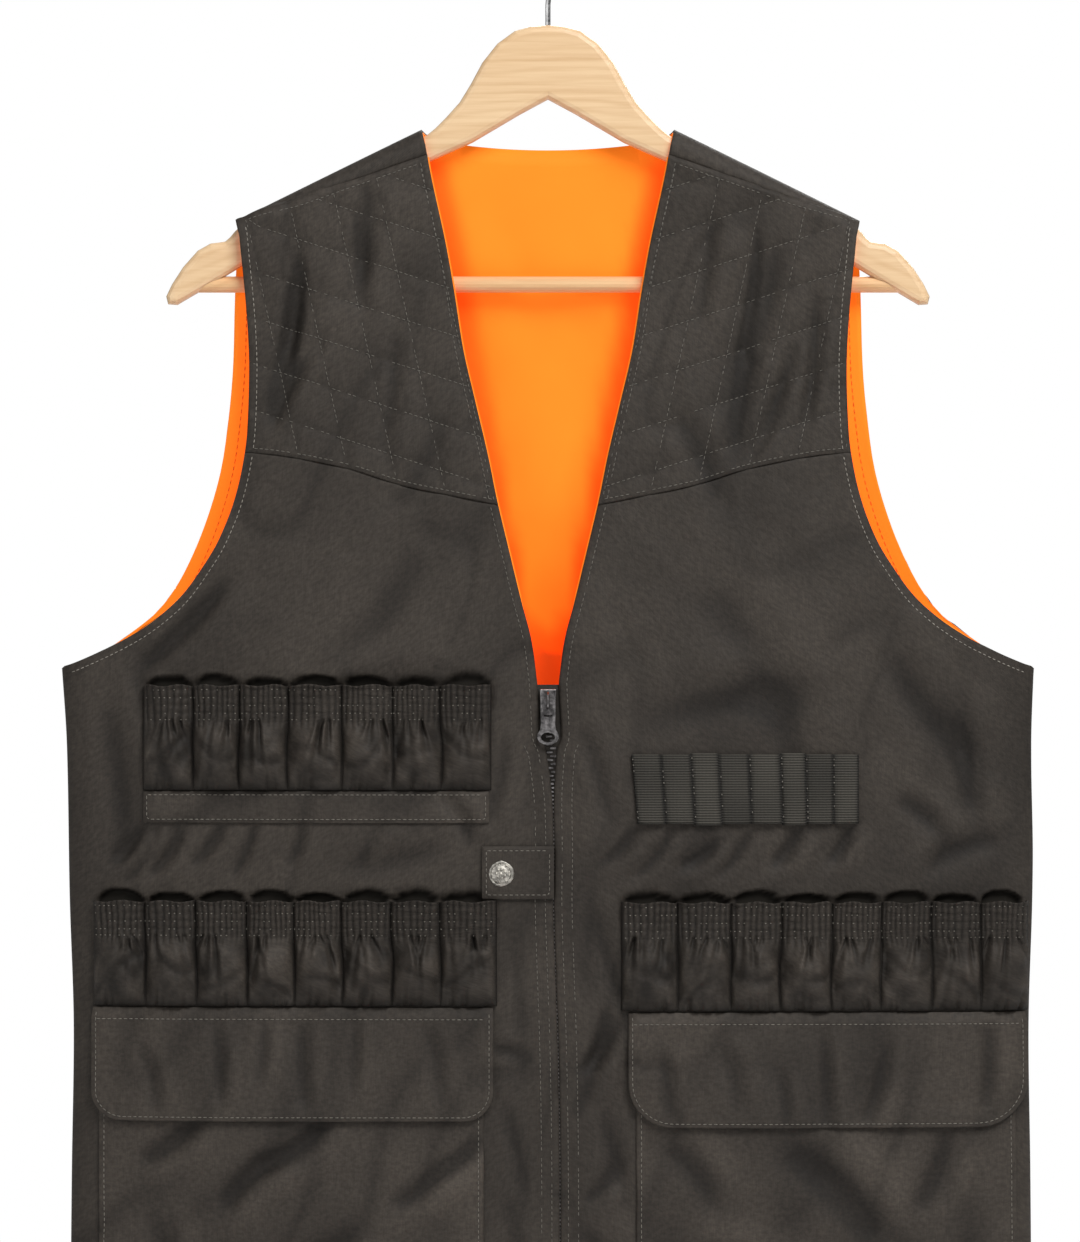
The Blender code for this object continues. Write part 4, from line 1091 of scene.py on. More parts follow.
def edge_roll(points, amount, width, sides="lrtb"):
    """How far a turned edge lies back, from the distance to the edges of a grid."""
    across = np.linalg.norm(np.diff(points, axis=1), axis=-1)
    down = np.linalg.norm(np.diff(points, axis=0), axis=-1)
    from_left = np.concatenate([np.zeros((len(points), 1)), np.cumsum(across, axis=1)], axis=1)
    from_top = np.concatenate([np.zeros((1, points.shape[1])), np.cumsum(down, axis=0)], axis=0)
    gaps = {
        "l": from_left, "r": from_left[:, -1:] - from_left,
        "t": from_top, "b": from_top[-1:] - from_top,
    }
    nearest = np.min([gaps[side] for side in sides], axis=0)
    return -amount * bell(nearest / width)


def underlap(above):
    """How far a panel's top edge dips, to run under the edge sewn over it."""
    return UNDERLAP_DIP * smooth(np.maximum(above + UNDERLAP_LEAD, 0.0) / UNDERLAP)


def yoke_out(x, along, hand, lift=0.0):
    """Points on the quilted outside of a yoke."""
    drop = drop_at(x, along)
    return laid(x, along, SHELL_OUT + quilting(x, -drop, hand) + front_rise(x, drop) + lift)


def front_out(x, along, lift=0.0):
    """Points on the outside of a lower front."""
    return laid(x, along, SHELL_OUT + front_rise(x, drop_at(x, along)) + lift)


def yoke_panel(name, hand):
    """A quilted yoke."""
    down = dense(0.0, 1.0, 0.0085, 0.004, [0.0, 1.0], 0.03)
    spread = dense(0.0, 1.0, 0.014, 0.006, [0.0, 1.0], 0.04)
    x, along = settle(
        hand, lambda x: shoulder_seam(x) - UNDERLAP, yoke_seam, inner_edge, down, spread,
    )
    points = yoke_out(x, along, hand)
    roll = edge_roll(points, 0.6 * MM, 1.1 * MM, "lrb")
    points = yoke_out(x, along, hand, roll - underlap(shoulder_seam(x) - along))
    drop = drop_at(x, along)
    creases = folds(FRONT_FOLDS, x, drop)
    pucker = 1.0 - quilting(x, -drop, hand) / QUILT
    # Painted shade in the creases and along the quilted lines, painted highlight on the creases'
    # lips
    hollow = np.maximum(troughs(creases, front_rumples(x, drop)), 0.3 * pucker ** 2)
    panel(name, points, (x, along), SHELL, "quilted_twill", hollow=hollow)


def front_panel(name, hand):
    """A lower front."""
    near = [445 * MM - FRONT_TOP, 575 * MM - FRONT_TOP, 0.0]
    down = dense(0.0, HEM - FRONT_TOP, 3.2 * MM, 1.2 * MM, near, 11 * MM) / (HEM - FRONT_TOP)
    spread = np.sin(dense(0.0, 1.0, 0.0083, 0.003, [0.0], 0.02) * math.pi / 2)
    x, along = settle(
        hand, lambda x: yoke_seam(x) - UNDERLAP, lambda x: along_at(x, -HEM), inner_edge,
        down, spread,
    )
    points = front_out(x, along)
    roll = edge_roll(points, 0.8 * MM, 1.6 * MM, "lb")
    points = front_out(x, along, roll - underlap(yoke_seam(x) - along))
    drop = drop_at(x, along)
    # Painted shade in the creases and behind the loops' mouths, painted highlight on the creases'
    # lips
    creases = troughs(folds(FRONT_FOLDS, x, drop), front_rumples(x, drop))
    hollow = np.maximum(mouths(x, drop), creases)
    panel(name, points, (x, along), SHELL, "twill", hollow=hollow)


def lining_front(name, hand):
    """The reverse side of a front, its right side to the inside."""
    x, along = settle(
        hand, lambda x: shoulder_seam(x) + SEAM / 2, lambda x: along_at(x, -LINING_HEM),
        lining_edge, dense(0.0, 1.0, 0.0125), np.sin(dense(0.0, 1.0, 0.021) * math.pi / 2),
    )
    points = laid(x, along, LINING + lining_rise(x, drop_at(x, along)))
    panel(name, points, (x, along), LINING, "blaze_polyester")


def back_grid(columns, down_shares, hem):
    """x and along of the back, over the shoulders from the front seam, then down to the hem."""
    half_columns = columns / 2
    across = np.arange(columns + 1)[None, :] / half_columns - 1
    hand = np.where(across < 0, -1.0, 1.0)
    part = np.abs(across)
    zone = np.minimum(part / NECK_ZONE, 1.0)
    reach = np.maximum(part - NECK_ZONE, 0.0) / (1.0 - NECK_ZONE)
    outside = part > NECK_ZONE - 1e-6
    tip = FRONT_ARMHOLE[0]["half"]
    steps = np.linspace(0, len(WRAP) - 1, ROWS_OVER + 1)[:, None] * MM
    line_half = read(WRAP, steps, "half", key="step")
    neck = read(WRAP, steps, "neck", key="step")
    tips = read(WRAP, steps, "tip", key="step")
    upper_half = np.where(outside, mix(line_half, tip, reach), line_half * zone)
    upper_along = mix(neck, tips, reach)
    half = upper_half[-1:]
    top = skin(half, upper_along[-1:])[..., 2]
    zone_top = skin(WRAP[-1]["half"], WRAP[-1]["neck"])[2]
    top = np.where(part < NECK_ZONE, mix(-BACK_NECK_DROP, zone_top, zone * zone), top)
    upper_x = hand * upper_half
    upper_along = np.concatenate([upper_along[:-1], -along_at(half, top)])
    share = down_shares[1:, None]
    spread = mix(reach, np.sin(reach * math.pi / 2), smooth(share * 3))
    zone_half = mix(WRAP[-1]["half"], NECK_ZONE_BELOW, smooth(share * 3))
    height = mix(top, -HEM, share)
    edge = np.abs(outer_edge(height, hand, BACK_ARMHOLE))
    height = np.maximum(height, -hem)
    x = hand * np.where(outside, mix(zone_half, edge, spread), zone_half * zone)
    return np.concatenate([upper_x, x]), np.concatenate([upper_along, -along_at(x, height)])


def back_out(x, along, out, lift=0.0):
    """Points of the back. Its reverse side stays behind the troughs beside it."""
    drop = drop_at(x, along)
    near = [(0.0, 0.0)]
    if out < SHELL_OUT:
        near += [(-BEHIND, 0.0), (BEHIND, 0.0), (0.0, -BEHIND), (0.0, BEHIND)]
    rise = np.min([back_rise(x + aside, drop + down) for aside, down in near], axis=0)
    return laid(x, along, out + np.where(along < 0, rise, 0.0) + lift)


def back_panel(name, columns, spacing, hem, out, wall, finish, slot):
    """The back or its reverse side, one piece over both shoulders."""
    x, along = back_grid(columns, dense(0.0, 1.0, spacing), hem)
    points = back_out(x, along, out)
    if slot == "shell_cloth":
        roll = edge_roll(points, 0.7 * MM, 2.0 * MM, "tb")
        points = back_out(x, along, out, roll)
    half = columns / 2

    def keep(column, row):
        return row > ROWS_OVER or abs(column / half - 1) > NECK_ZONE

    drop = drop_at(x, along)
    if slot == "shell_cloth":
        # Painted shade in the back's creases and painted highlight on their lips, none high on the
        # back
        hollow = troughs(folds(BACK_FOLDS, x, drop), back_rumples(x, drop))
        hollow = hollow * smooth((drop - 200 * MM) / (30 * MM))
    else:
        # Painted shade on the reverse side: strips beside the V's edges, and its tip
        opening = read(NECKLINE, drop, "half")
        strip = np.minimum(20 * MM, 0.42 * opening)
        hollow = smooth((np.abs(x) - opening) / strip + 1.0)
        hollow = hollow * smooth((drop - 138 * MM) / (16 * MM))
        hollow = hollow * mix(1.0, 0.12, smooth((np.abs(x) - opening - 10 * MM) / (30 * MM)))
        tip = smooth((drop - 413 * MM) / (28 * MM)) * (1.0 - smooth(np.abs(x) / (60 * MM)))
        hollow = np.maximum(0.75 * hollow, tip)
    panel(name, points, (x, -along), wall, finish, hollow=hollow, keep=keep,
          faces=BACKWARD)


def loops_at(row, u):
    """How many loops a row has, the loop that u lies in, and how far across it."""
    count = len(row["dividers"]) - 1
    loop = np.clip(np.floor(u).astype(int), 0, count - 1)
    return count, loop, u - loop


def loops_grid(row, across, down):
    """u and v over a row: `across` each of its loops, and `down` it."""
    count = len(row["dividers"]) - 1
    u = np.concatenate([across[:-1] + loop for loop in range(count)] + [[float(count)]])
    return np.broadcast_arrays(u[None, :], down[:, None])


def gathers(row, u, v):
    """From 0 in the sharp valleys of the elastic's gathers to 1 on their crests."""
    count, loop, phase = loops_at(row, u)
    rng = np.random.default_rng(int(row["top"] * 10) + 1)
    number = rng.uniform(7.4, 9.6, count)
    start = rng.uniform(0.0, 3.14, count)
    drift = 0.5 * np.sin(5 * phase + loop) + 0.3 * np.sin(11 * phase + 2 * start[loop])
    drift = drift + 0.25 * np.sin(9 * v + 7 * phase + loop)
    return np.abs(np.sin(math.pi * number[loop] * phase + start[loop] + drift)) ** 0.7


def loop_relief(row, u, v):
    """How far each point of a row of loops stands out, and its painted shade and painted highlight.
    """
    count, loop, phase = loops_at(row, u)
    rng = np.random.default_rng(int(row["top"] * 10))
    creases = 4
    middle = rng.uniform(0.18, 0.82, (count, creases))
    deep = rng.uniform(1.0, 2.6, (count, creases))
    long = rng.uniform(0.3, 0.75, (count, creases))
    lean = rng.uniform(-0.32, 0.32, (count, creases))
    puff = rng.uniform(0.82, 1.18, count)
    start = rng.uniform(0.0, 6.28, count)
    sag_at = rng.uniform(0.62, 0.84, count)[loop]
    sag_tilt = rng.uniform(-0.42, 0.42, count)[loop]
    sag_curve = rng.uniform(-0.9, 0.5, count)[loop]
    arch = np.abs(np.sin(math.pi * phase)) + 1e-9
    pouch = smooth((v - ELASTIC_FOOT) / 0.2)
    full = arch ** read(LOOP_DEPTH, v, "round", key="part")
    depth = read(LOOP_DEPTH, v, "depth", key="part") * MM * full * mix(1.0, puff[loop], pouch)
    elastic = 1.0 - smooth((v - ELASTIC_FOOT + 0.03) / 0.16)
    thread = sum(bell((v - place) / 0.016) for place in SHIRRING)
    crests = gathers(row, u, v)
    edge = smooth(arch / 0.3)
    depth = depth + elastic * edge * ((1.5 - 0.5 * thread) * (crests - 0.6) - 0.4 * thread) * MM
    # Painted shade in the valleys of the gathers, and below in the creases and the sag
    valleys = elastic * (0.05 + 0.75 * (1.0 - crests))
    frill = (1.0 - smooth(v / 0.05)) * edge
    depth = depth + frill * (0.4 + 0.5 * np.sin(13 * phase + 2 * start[loop])) * MM
    for index in range(creases):
        begin = ELASTIC_FOOT - 0.03
        run = np.clip((v - begin) / long[loop, index], 0.0, 1.0)
        bent = lean[loop, index] * run * (1.6 - 0.6 * run)
        off = (phase - middle[loop, index] - bent) / mix(0.03, 0.1, run)
        trough = bell(off) - 0.45 * bell(np.abs(off) - 1.9)
        fade = smooth((v - begin) / 0.05) * (1 - run) ** 0.7
        depth = depth - deep[loop, index] * MM * trough * fade * edge
        valleys = np.maximum(valleys, 0.3 * deep[loop, index] * bell(off) * fade)
        rising = np.clip((1.0 - v) / (long[loop, index] * 0.6), 0.0, 1.0)
        off = (phase - 1.0 + middle[loop, index]) / mix(0.035, 0.065, rising)
        foot = (1 - rising) * edge * smooth(v * 3 - 2)
        depth = depth - 0.75 * deep[loop, index] * MM * bell(off) * foot
        valleys = np.maximum(valleys, 0.25 * deep[loop, index] * bell(off) * foot)
    off = v - sag_at - sag_tilt * (phase - 0.5) - sag_curve * (phase - 0.5) ** 2
    sag = pouch * edge * (1.0 - 0.6 * bell((phase - 0.5 + np.sign(sag_tilt) * 0.4) / 0.25))
    depth = depth - 1.5 * MM * sag * (bell(off / 0.055) - 0.55 * bell((off + 0.09) / 0.06))
    valleys = np.maximum(valleys, 0.5 * sag * bell(off / 0.05))
    lumps = lattice(17, phase * 30 * MM + loop * 0.2, v * 60 * MM, 13 * MM)
    lumps = 1.8 * lumps + 0.7 * lattice(18, phase * 30 * MM + loop * 0.3, v * 60 * MM, 6 * MM)
    depth = depth + lumps * MM * pouch * edge
    # Painted shade beside the dividers, in the valleys, near the foot and where lumps sink; painted
    # highlight where lumps rise in the upper pouch
    beside = 1.0 - smooth(arch / (0.22 + 0.24 * bell((v - 0.42) / 0.12)))
    hollow = np.maximum(0.75 * beside, np.minimum(valleys, 0.8))
    hollow = np.maximum(hollow, 0.75 * smooth((v - 0.84) / 0.16) ** 2)
    hollow = np.maximum(hollow, 0.42 * np.clip(-lumps, 0.0, 1.6) * pouch)
    hollow = hollow - 0.42 * np.clip(lumps, 0.0, 1.2) * pouch * edge * (1.0 - smooth(v * 3 - 2))
    return np.maximum(depth, 0.0), np.clip(hollow, -0.5, 0.68)


def loop_surface(row, u, v, lift=0.0):
    """Points of a row of gathered loops: u counts loops, v runs from mouth to foot."""
    dividers = np.array(row["dividers"]) * MM
    count, loop, phase = loops_at(row, u)
    rng = np.random.default_rng(int(row["top"] * 10) + 2)
    sway = rng.uniform(-1.0, 1.0, (count + 1, 2))
    sway[0] = sway[-1] = 0.0
    start = rng.uniform(0.0, 6.28, count)
    bend = np.sin((v - 0.3) * 4.0) * smooth((v - ELASTIC_FOOT) / 0.2) * 1.6 * MM
    ripple = np.sin(v * 9.0) * 0.6 * MM * np.sin(math.pi * v)
    left = dividers[loop] + sway[loop, 0] * bend + sway[loop, 1] * ripple
    right = dividers[loop + 1] + sway[loop + 1, 0] * bend + sway[loop + 1, 1] * ripple
    x = mix(left, right, phase)
    depth, _ = loop_relief(row, u, v)
    frayed = -0.6 * MM * np.sin(9 * phase + start[loop]) * (1.0 - smooth(v / 0.06))
    height = -mix(row["top"], row["foot"], v) * MM + frayed
    return sewn_on(x, height, depth + LOOP_WALL + lift)


def loop_panel(name, row):
    """A row of gathered cartridge loops."""
    down = dense(0.0, 1.0, 0.024, 0.012, [0.0, 0.2, 0.4], 0.12)
    u, v = loops_grid(row, dense(0.0, 1.0, 0.0175), down)
    points = loop_surface(row, u, v)
    # The loops' painted shade and painted highlight
    _, hollow = loop_relief(row, u, v)
    spans = np.linalg.norm(np.diff(points, axis=1), axis=-1)
    across = np.concatenate([np.zeros((len(points), 1)), np.cumsum(spans, axis=1)], axis=1)
    length = (row["foot"] - row["top"]) * MM
    panel(name, points, (across, v * length), LOOP_WALL * 0.9, "gathered_twill",
          hollow=hollow)


def webbing_surface(u, v, lift=0.0):
    """Points of the flat elastic loops: u counts loops, v runs down."""
    dividers = np.array(WEBBING["dividers"]) * MM
    count, loop, phase = loops_at(WEBBING, u)
    x = mix(dividers[loop], dividers[loop + 1], phase)
    x = x + WEBBING["slant"] * MM * v * (1 - u / count)
    height = -mix(WEBBING["top"], WEBBING["foot"], v) * MM
    height = height - 0.5 * MM * np.sin(loop * 2.1 + 0.4) * (1 - 2 * v)
    own = 1.0 + 0.25 * np.sin(loop * 1.7)
    bulge = WEBBING["bulge"] * MM * (np.abs(np.sin(math.pi * phase)) + 1e-9) ** 0.6 * own
    slack = 0.4 * MM * np.sin(math.pi * v) * np.sin(math.pi * phase)
    return sewn_on(x, height, bulge + slack + WEBBING_WALL + lift)


def webbing_panel():
    """The row of flat elastic loops."""
    across = dense(0.0, 1.0, 0.1, 0.04, [0.0, 1.0], 0.08)
    u, v = loops_grid(WEBBING, across, dense(0.0, 1.0, 0.03))
    points = webbing_surface(u, v)
    length = (WEBBING["foot"] - WEBBING["top"]) * MM
    _, number, _ = loops_at(WEBBING, u)
    # Painted shade, deep beside the dividers and differing from loop to loop and down each loop
    beside = 1.0 - smooth(np.abs(np.sin(math.pi * u)) / 0.55)
    own = 0.16 + 0.16 * np.sin(number * 2.3 + 0.6) + 0.12 * np.sin(v * 5.0 + number)
    panel("webbing_loops", points, (points[..., 0], v * length), WEBBING_WALL,
          "ribbed_elastic",
          hollow=np.clip(np.maximum(0.85 * beside, own), 0.0, 1.0))


def pocket_rise(x, height, hand):
    """How far the pocket's inside stands off the front: a slight belly."""
    patch = PATCHES["pocket_left" if hand > 0 else "pocket_right"]
    left, right = patch["x"]
    top, foot = patch["drop"]
    across = np.clip((x / MM - left) / (right - left), 0.0, 1.0)
    down = np.clip((-height / MM - top) / (foot - top), 0.0, 1.0)
    return POCKET_BELLY * np.sin(math.pi * across) * np.sin(math.pi * down)


def flap_rise(x, height, hand):
    """The flap's inside: sewn to the front above, and lying on the pocket below."""
    patch = PATCHES["flap_left" if hand > 0 else "flap_right"]
    below = np.maximum(-height - patch["drop"][0] * MM, 0.0)
    over_pocket = PATCHES["pocket_left"]["wall"] * MM + 2 * SEAM
    lift = FLAP_LIFT * below / FLAP_LENGTH
    return smooth(below / FLAP_STEP) * over_pocket + pocket_rise(x, height, hand) + lift


def hand_of(name):
    """The side that a flat piece is sewn on."""
    return LEFT if name.endswith("left") else RIGHT


def own_folds(name, x, height):
    """Rise of a pocket or flap in its own creases."""
    rows = {"pocket": POCKET_FOLDS, "flap": FLAP_FOLDS}.get(name.split("_")[0], ())
    return folds(rows, x, -height)


def patch_out(name, x, height, lift=0.0):
    """Points on the outside of a flat piece."""
    rise = PATCHES[name]["wall"] * MM
    if name.startswith("pocket"):
        rise = rise + pocket_rise(x, height, hand_of(name)) + own_folds(name, x, height)
    if name.startswith("flap"):
        rise = rise + flap_rise(x, height, hand_of(name)) + own_folds(name, x, height)
    return sewn_on(x, height, np.maximum(rise, THINNEST) + lift)


def patch_edges(name):
    """Left and right edges of a flat piece, drops of its top and foot, and its corner."""
    patch = PATCHES[name]
    return [size * MM for size in (*patch["x"], *patch["drop"], patch["corner"])]


def patch_panel(name, patch):
    """A flat piece laid on a front, with rounded lower corners."""
    left, right, top, foot, corner = patch_edges(name)
    spacing = patch["spacing"] * MM
    drops = dense(top, foot, spacing, spacing * 0.3, [top, foot], 5 * MM)[:, None]
    across = dense(left, right, spacing, spacing * 0.3, [left, right], 4 * MM)
    share = ((across - left) / (right - left))[None, :]
    below = np.maximum(drops - (foot - corner), 0.0) / corner
    inset = corner * (1 - np.sqrt(np.maximum(1 - below * below, 0.0)))
    height = -drops
    half = side_half(height, hand_of(name))
    from_turn = np.arcsin((left + inset) / half)
    to_turn = np.arcsin((right - inset) / half)
    x = half * np.sin(mix(from_turn, to_turn, share))
    height = np.broadcast_to(height, x.shape)
    points = patch_out(name, x, height)
    points = patch_out(name, x, height, edge_roll(points, 0.5 * MM, 1.4 * MM))
    # Painted shade in the piece's creases, painted highlight on their lips
    hollow = troughs(own_folds(name, x, height), front_rumples(x, -height))
    panel(name, points, (x, -height), patch["wall"] * MM * 0.8, "twill",
          hollow=hollow)


def stitched(name, runs, finish, pitch=None, width=None, length=0.78, skipped=0.0):
    """Stitches along runs of points, each a small rounded bar, some of them skipped."""
    rng = np.random.default_rng(5)
    cloth = bpy.context.scene.gilet_cloth
    pitch = pitch or cloth.stitch_pitch
    width = width or cloth.thread_width
    bm = bmesh.new()
    for run in runs:
        run = np.asarray(run)
        steps = np.linalg.norm(np.diff(run, axis=0), axis=-1)
        far = np.concatenate([[0.0], np.cumsum(steps)])
        for index in range(int(far[-1] / pitch)):
            if rng.random() < skipped:
                continue
            middle = (index + 0.5) * pitch
            ends = [middle - pitch * length / 2, middle + pitch * length / 2]
            start, end = (
                Vector([np.interp(at, far, run[:, axis]) for axis in range(3)]) for at in ends
            )
            turn = (end - start).to_track_quat("Z", "Y").to_matrix().to_4x4()
            scale = Matrix.Diagonal((width / 2, width / 2, (end - start).length / 2, 1.0))
            place = Matrix.Translation((start + end) / 2) @ turn @ scale
            bmesh.ops.create_icosphere(bm, subdivisions=1, radius=1.0, matrix=place)
    add(name, mesh_of(name, bm), finish)


def runs_inside(points, inside):
    """The stretches of a line that lie inside, but for very short ones."""
    runs, current = [], []
    for point, good in zip(points, inside):
        if good:
            current.append(point)
        elif current:
            runs.append(np.array(current))
            current = []
    if current:
        runs.append(np.array(current))
    return [run for run in runs if len(run) >= SHORTEST_RUN]


def offset_line(line, gap):
    """A line in x and drop moved sideways, to its right going along it."""
    line = np.asarray(line)
    tangent = np.gradient(line, axis=0)
    tangent = tangent / np.linalg.norm(tangent, axis=1, keepdims=True)
    return line + gap * np.stack([-tangent[:, 1], tangent[:, 0]], axis=1)


def quilt_runs(hand):
    """The quilting's stitched lines on one yoke."""
    reach = np.linspace(20 * MM, 190 * MM, 260)
    drop = np.linspace(130 * MM, 360 * MM, 320)
    lines = [(reach, number * QUILT_CELL - reach * QUILT_RISE) for number in range(2, 18)]
    lines += [(number * QUILT_CELL - drop * QUILT_LEAN, drop) for number in range(1, 12)]
    runs = []
    for reach_line, drop_line in lines:
        x = hand * reach_line
        along = along_at(x, -drop_line)
        inner = hand * inner_edge(-drop_line, hand) + 1.5 * MM
        outer = hand * outer_edge(-drop_line, hand, FRONT_ARMHOLE) - 1.5 * MM
        inside = (reach_line > inner) & (reach_line < outer) & (ridge(x) > -drop_line)
        inside &= (along > shoulder_seam(x) + 1.5 * MM) & (along < yoke_seam(x) - 1.5 * MM)
        points = yoke_out(x, along, hand, QUILT_STITCH_LIFT)
        runs += runs_inside(points, inside)
    return runs


def armhole_line(hand, armhole, top, foot, count, gap):
    """x and drop beside an armhole, from one drop to another."""
    drops = np.linspace(top, foot, count)
    edge = np.stack([outer_edge(-drops, hand, armhole), drops], axis=1)
    return offset_line(edge, hand * gap)


def front_runs(hand, line):
    """A line in x and drop laid on a yoke and on the lower front."""
    x, drop = line[:, 0], line[:, 1]
    along = along_at(x, -drop)
    upper = (along > shoulder_seam(x) + 1.0 * MM) & (along < yoke_seam(x) - 1.0 * MM)
    lower = (along > yoke_seam(x) + MM) & (np.abs(x) < side_half(-drop, hand) - 2 * MM)
    return (runs_inside(yoke_out(x, along, hand, STITCH_LIFT), upper)
            + runs_inside(front_out(x, along, STITCH_LIFT), lower))


def edge_runs(hand):
    """Topstitching beside the neckline and the zip."""
    drops = np.linspace(150 * MM, HEM - 12 * MM, 620)
    inner = np.stack([inner_edge(-drops, hand), drops], axis=1)
    below = drops > 486 * MM
    return (front_runs(hand, offset_line(inner, -hand * EDGE_GAP))
            + front_runs(hand, offset_line(inner[below], -hand * ZIP_GAP)))


def armhole_runs(hand):
    """Topstitching beside a front's armhole."""
    foot = UNDERARM - 0.5 * MM
    return front_runs(hand, armhole_line(hand, FRONT_ARMHOLE, 190 * MM, foot, 260, EDGE_GAP))


def patch_runs(name, gap, top_gap=None):
    """Topstitching inside the edge of a flat piece, and a row below its top."""
    left, right, top, foot, corner = patch_edges(name)
    corner = max(corner - gap, 0.2 * MM)
    left, right, foot = left + gap, right - gap, foot - gap
    line = [(left, drop) for drop in np.linspace(top + gap, foot - corner, 60)]
    turns = np.linspace(math.pi, math.pi / 2, 14)
    line += [
        (left + corner + corner * math.cos(t), foot - corner + corner * math.sin(t)) for t in turns
    ]
    line += [(x, foot) for x in np.linspace(left + corner, right - corner, 120)[1:-1]]
    line += [
        (right - corner + corner * math.cos(t), foot - corner + corner * math.sin(t))
        for t in turns - math.pi / 2
    ]
    line += [(right, drop) for drop in np.linspace(foot - corner, top + gap, 60)]
    lines = [np.array(line)]
    if top_gap is not None:
        across = np.linspace(left, right, 160)
        lines.append(np.stack([across, np.full(160, top + top_gap)], axis=1))
    return [patch_out(name, line[:, 0], -line[:, 1], STITCH_LIFT) for line in lines]


def loop_runs():
    """Threads of the elastic across each row of loops, and between the flat loops."""
    down = np.linspace(0.03, 0.97, 40)
    count = len(WEBBING["dividers"]) - 1
    runs = [webbing_surface(np.full(40, place + 0.04), down, 0.3 * MM) for place in range(count)]
    for row in LOOP_ROWS.values():
        count = len(row["dividers"]) - 1
        across = np.linspace(0.03, count - 0.03, 60 * count)
        for place in SHIRRING:
            runs.append(loop_surface(row, across, np.full(len(across), place), 0.2 * MM))
    return runs


def back_line(x, drop, out=SHELL_OUT, lift=STITCH_LIFT):
    """A line in x and drop laid on the back."""
    return back_out(x, -along_at(x, -drop), out, lift)


def reverse_runs():
    """Stitching of the reverse side, beside the back's armholes."""
    top, foot = 205 * MM, UNDERARM - 4 * MM
    lines = [
        armhole_line(hand, BACK_ARMHOLE, top, foot, 200, REVERSE_GAP) for hand in (RIGHT, LEFT)
    ]
    return [back_line(line[:, 0], line[:, 1], -0.15 * MM, 0.0) for line in lines]


def back_runs():
    """Topstitching of the back: armholes, neck and hem, and the fronts' hem."""
    runs = []
    top, foot = 205 * MM, UNDERARM - 1 * MM
    for hand in (RIGHT, LEFT):
        line = armhole_line(hand, BACK_ARMHOLE, top, foot, 240, BACK_GAP)
        runs.append(back_line(line[:, 0], line[:, 1]))
        x = hand * np.linspace(22 * MM, 262 * MM, 200)
        runs.append(front_out(x, along_at(x, -HEM_STITCHES), STITCH_LIFT))
    x = np.linspace(-64 * MM, 64 * MM, 80)
    runs.append(back_line(x, BACK_NECK_DROP + 5 * MM - 4 * MM * (x / (64 * MM)) ** 2))
    runs.append(back_line(np.linspace(-262 * MM, 262 * MM, 300), HEM_STITCHES))
    return runs


class GILET_OT_yokes(bpy.types.Operator):
    """Quilted upper fronts"""

    bl_idname = "gilet.yokes"
    bl_label = "Yokes"

    def execute(self, context):
        for side, hand in SIDES:
            yoke_panel("yoke_" + side, hand)
        return {"FINISHED"}


class GILET_OT_fronts(bpy.types.Operator):
    """Lower fronts"""

    bl_idname = "gilet.fronts"
    bl_label = "Fronts"

    def execute(self, context):
        for side, hand in SIDES:
            front_panel("front_" + side, hand)
        return {"FINISHED"}


class GILET_OT_backs(bpy.types.Operator):
    """The back and its reverse side"""

    bl_idname = "gilet.backs"
    bl_label = "Back"

    def execute(self, context):
        back_panel(
            "back", columns=140, spacing=0.0079, hem=HEM, out=SHELL_OUT, wall=SHELL,
            finish="twill", slot="shell_cloth",
        )
        back_panel(
            "lining_back", columns=90, spacing=0.014, hem=LINING_HEM, out=LINING, wall=LINING,
            finish="blaze_polyester", slot="orange_cloth",
        )
        return {"FINISHED"}


class GILET_OT_front_linings(bpy.types.Operator):
    """Reverse side of the fronts"""

    bl_idname = "gilet.front_linings"
    bl_label = "Front linings"

    def execute(self, context):
        for side, hand in SIDES:
            lining_front("lining_front_" + side, hand)
        return {"FINISHED"}


class GILET_OT_loops(bpy.types.Operator):
    """Gathered cartridge loops and flat elastic loops"""

    bl_idname = "gilet.loops"
    bl_label = "Cartridge loops"

    def execute(self, context):
        for name, row in LOOP_ROWS.items():
            loop_panel(name, row)
        webbing_panel()
        return {"FINISHED"}


class GILET_OT_patches(bpy.types.Operator):
    """Pockets, flaps, loop band and closing tab"""

    bl_idname = "gilet.patches"
    bl_label = "Pockets and flaps"

    def execute(self, context):
        for name, patch in PATCHES.items():
            patch_panel(name, patch)
        return {"FINISHED"}


class GILET_OT_stitching(bpy.types.Operator):
    """Topstitching of every panel"""

    bl_idname = "gilet.stitching"
    bl_label = "Stitching"

    def execute(self, context):
        quilting_lines, edges, armholes = [], [], []
        for hand in (RIGHT, LEFT):
            quilting_lines += quilt_runs(hand)
            edges += edge_runs(hand)
            armholes += armhole_runs(hand)
            x = hand * np.linspace(32 * MM, 174 * MM, 160)
            edges.append(yoke_out(x, yoke_seam(x) - 2.6 * MM, hand, STITCH_LIFT))
            x = hand * np.linspace(76 * MM, 176 * MM, 120)
            edges.append(yoke_out(x, shoulder_seam(x) + 2.4 * MM, hand, STITCH_LIFT))
        stitched("quilting_stitches", quilting_lines, "faded_thread", width=0.55 * MM, skipped=0.2)
        stitched("edge_stitches", edges, "faded_thread", skipped=0.08)
        stitched("armhole_stitches", armholes, "pale_thread")
        sewn = [run for name, *gaps in PATCH_STITCHES for run in patch_runs(name, *gaps)]
        stitched("pocket_stitches", sewn, "topstitch_thread")
        stitched("loop_stitches", loop_runs(), "topstitch_thread", 3.4 * MM, 0.75 * MM, 0.34, 0.5)
        stitched("reverse_stitches", reverse_runs(), "orange_thread", 4.2 * MM)
        stitched("back_stitches", back_runs(), "topstitch_thread", 3.8 * MM)
        return {"FINISHED"}


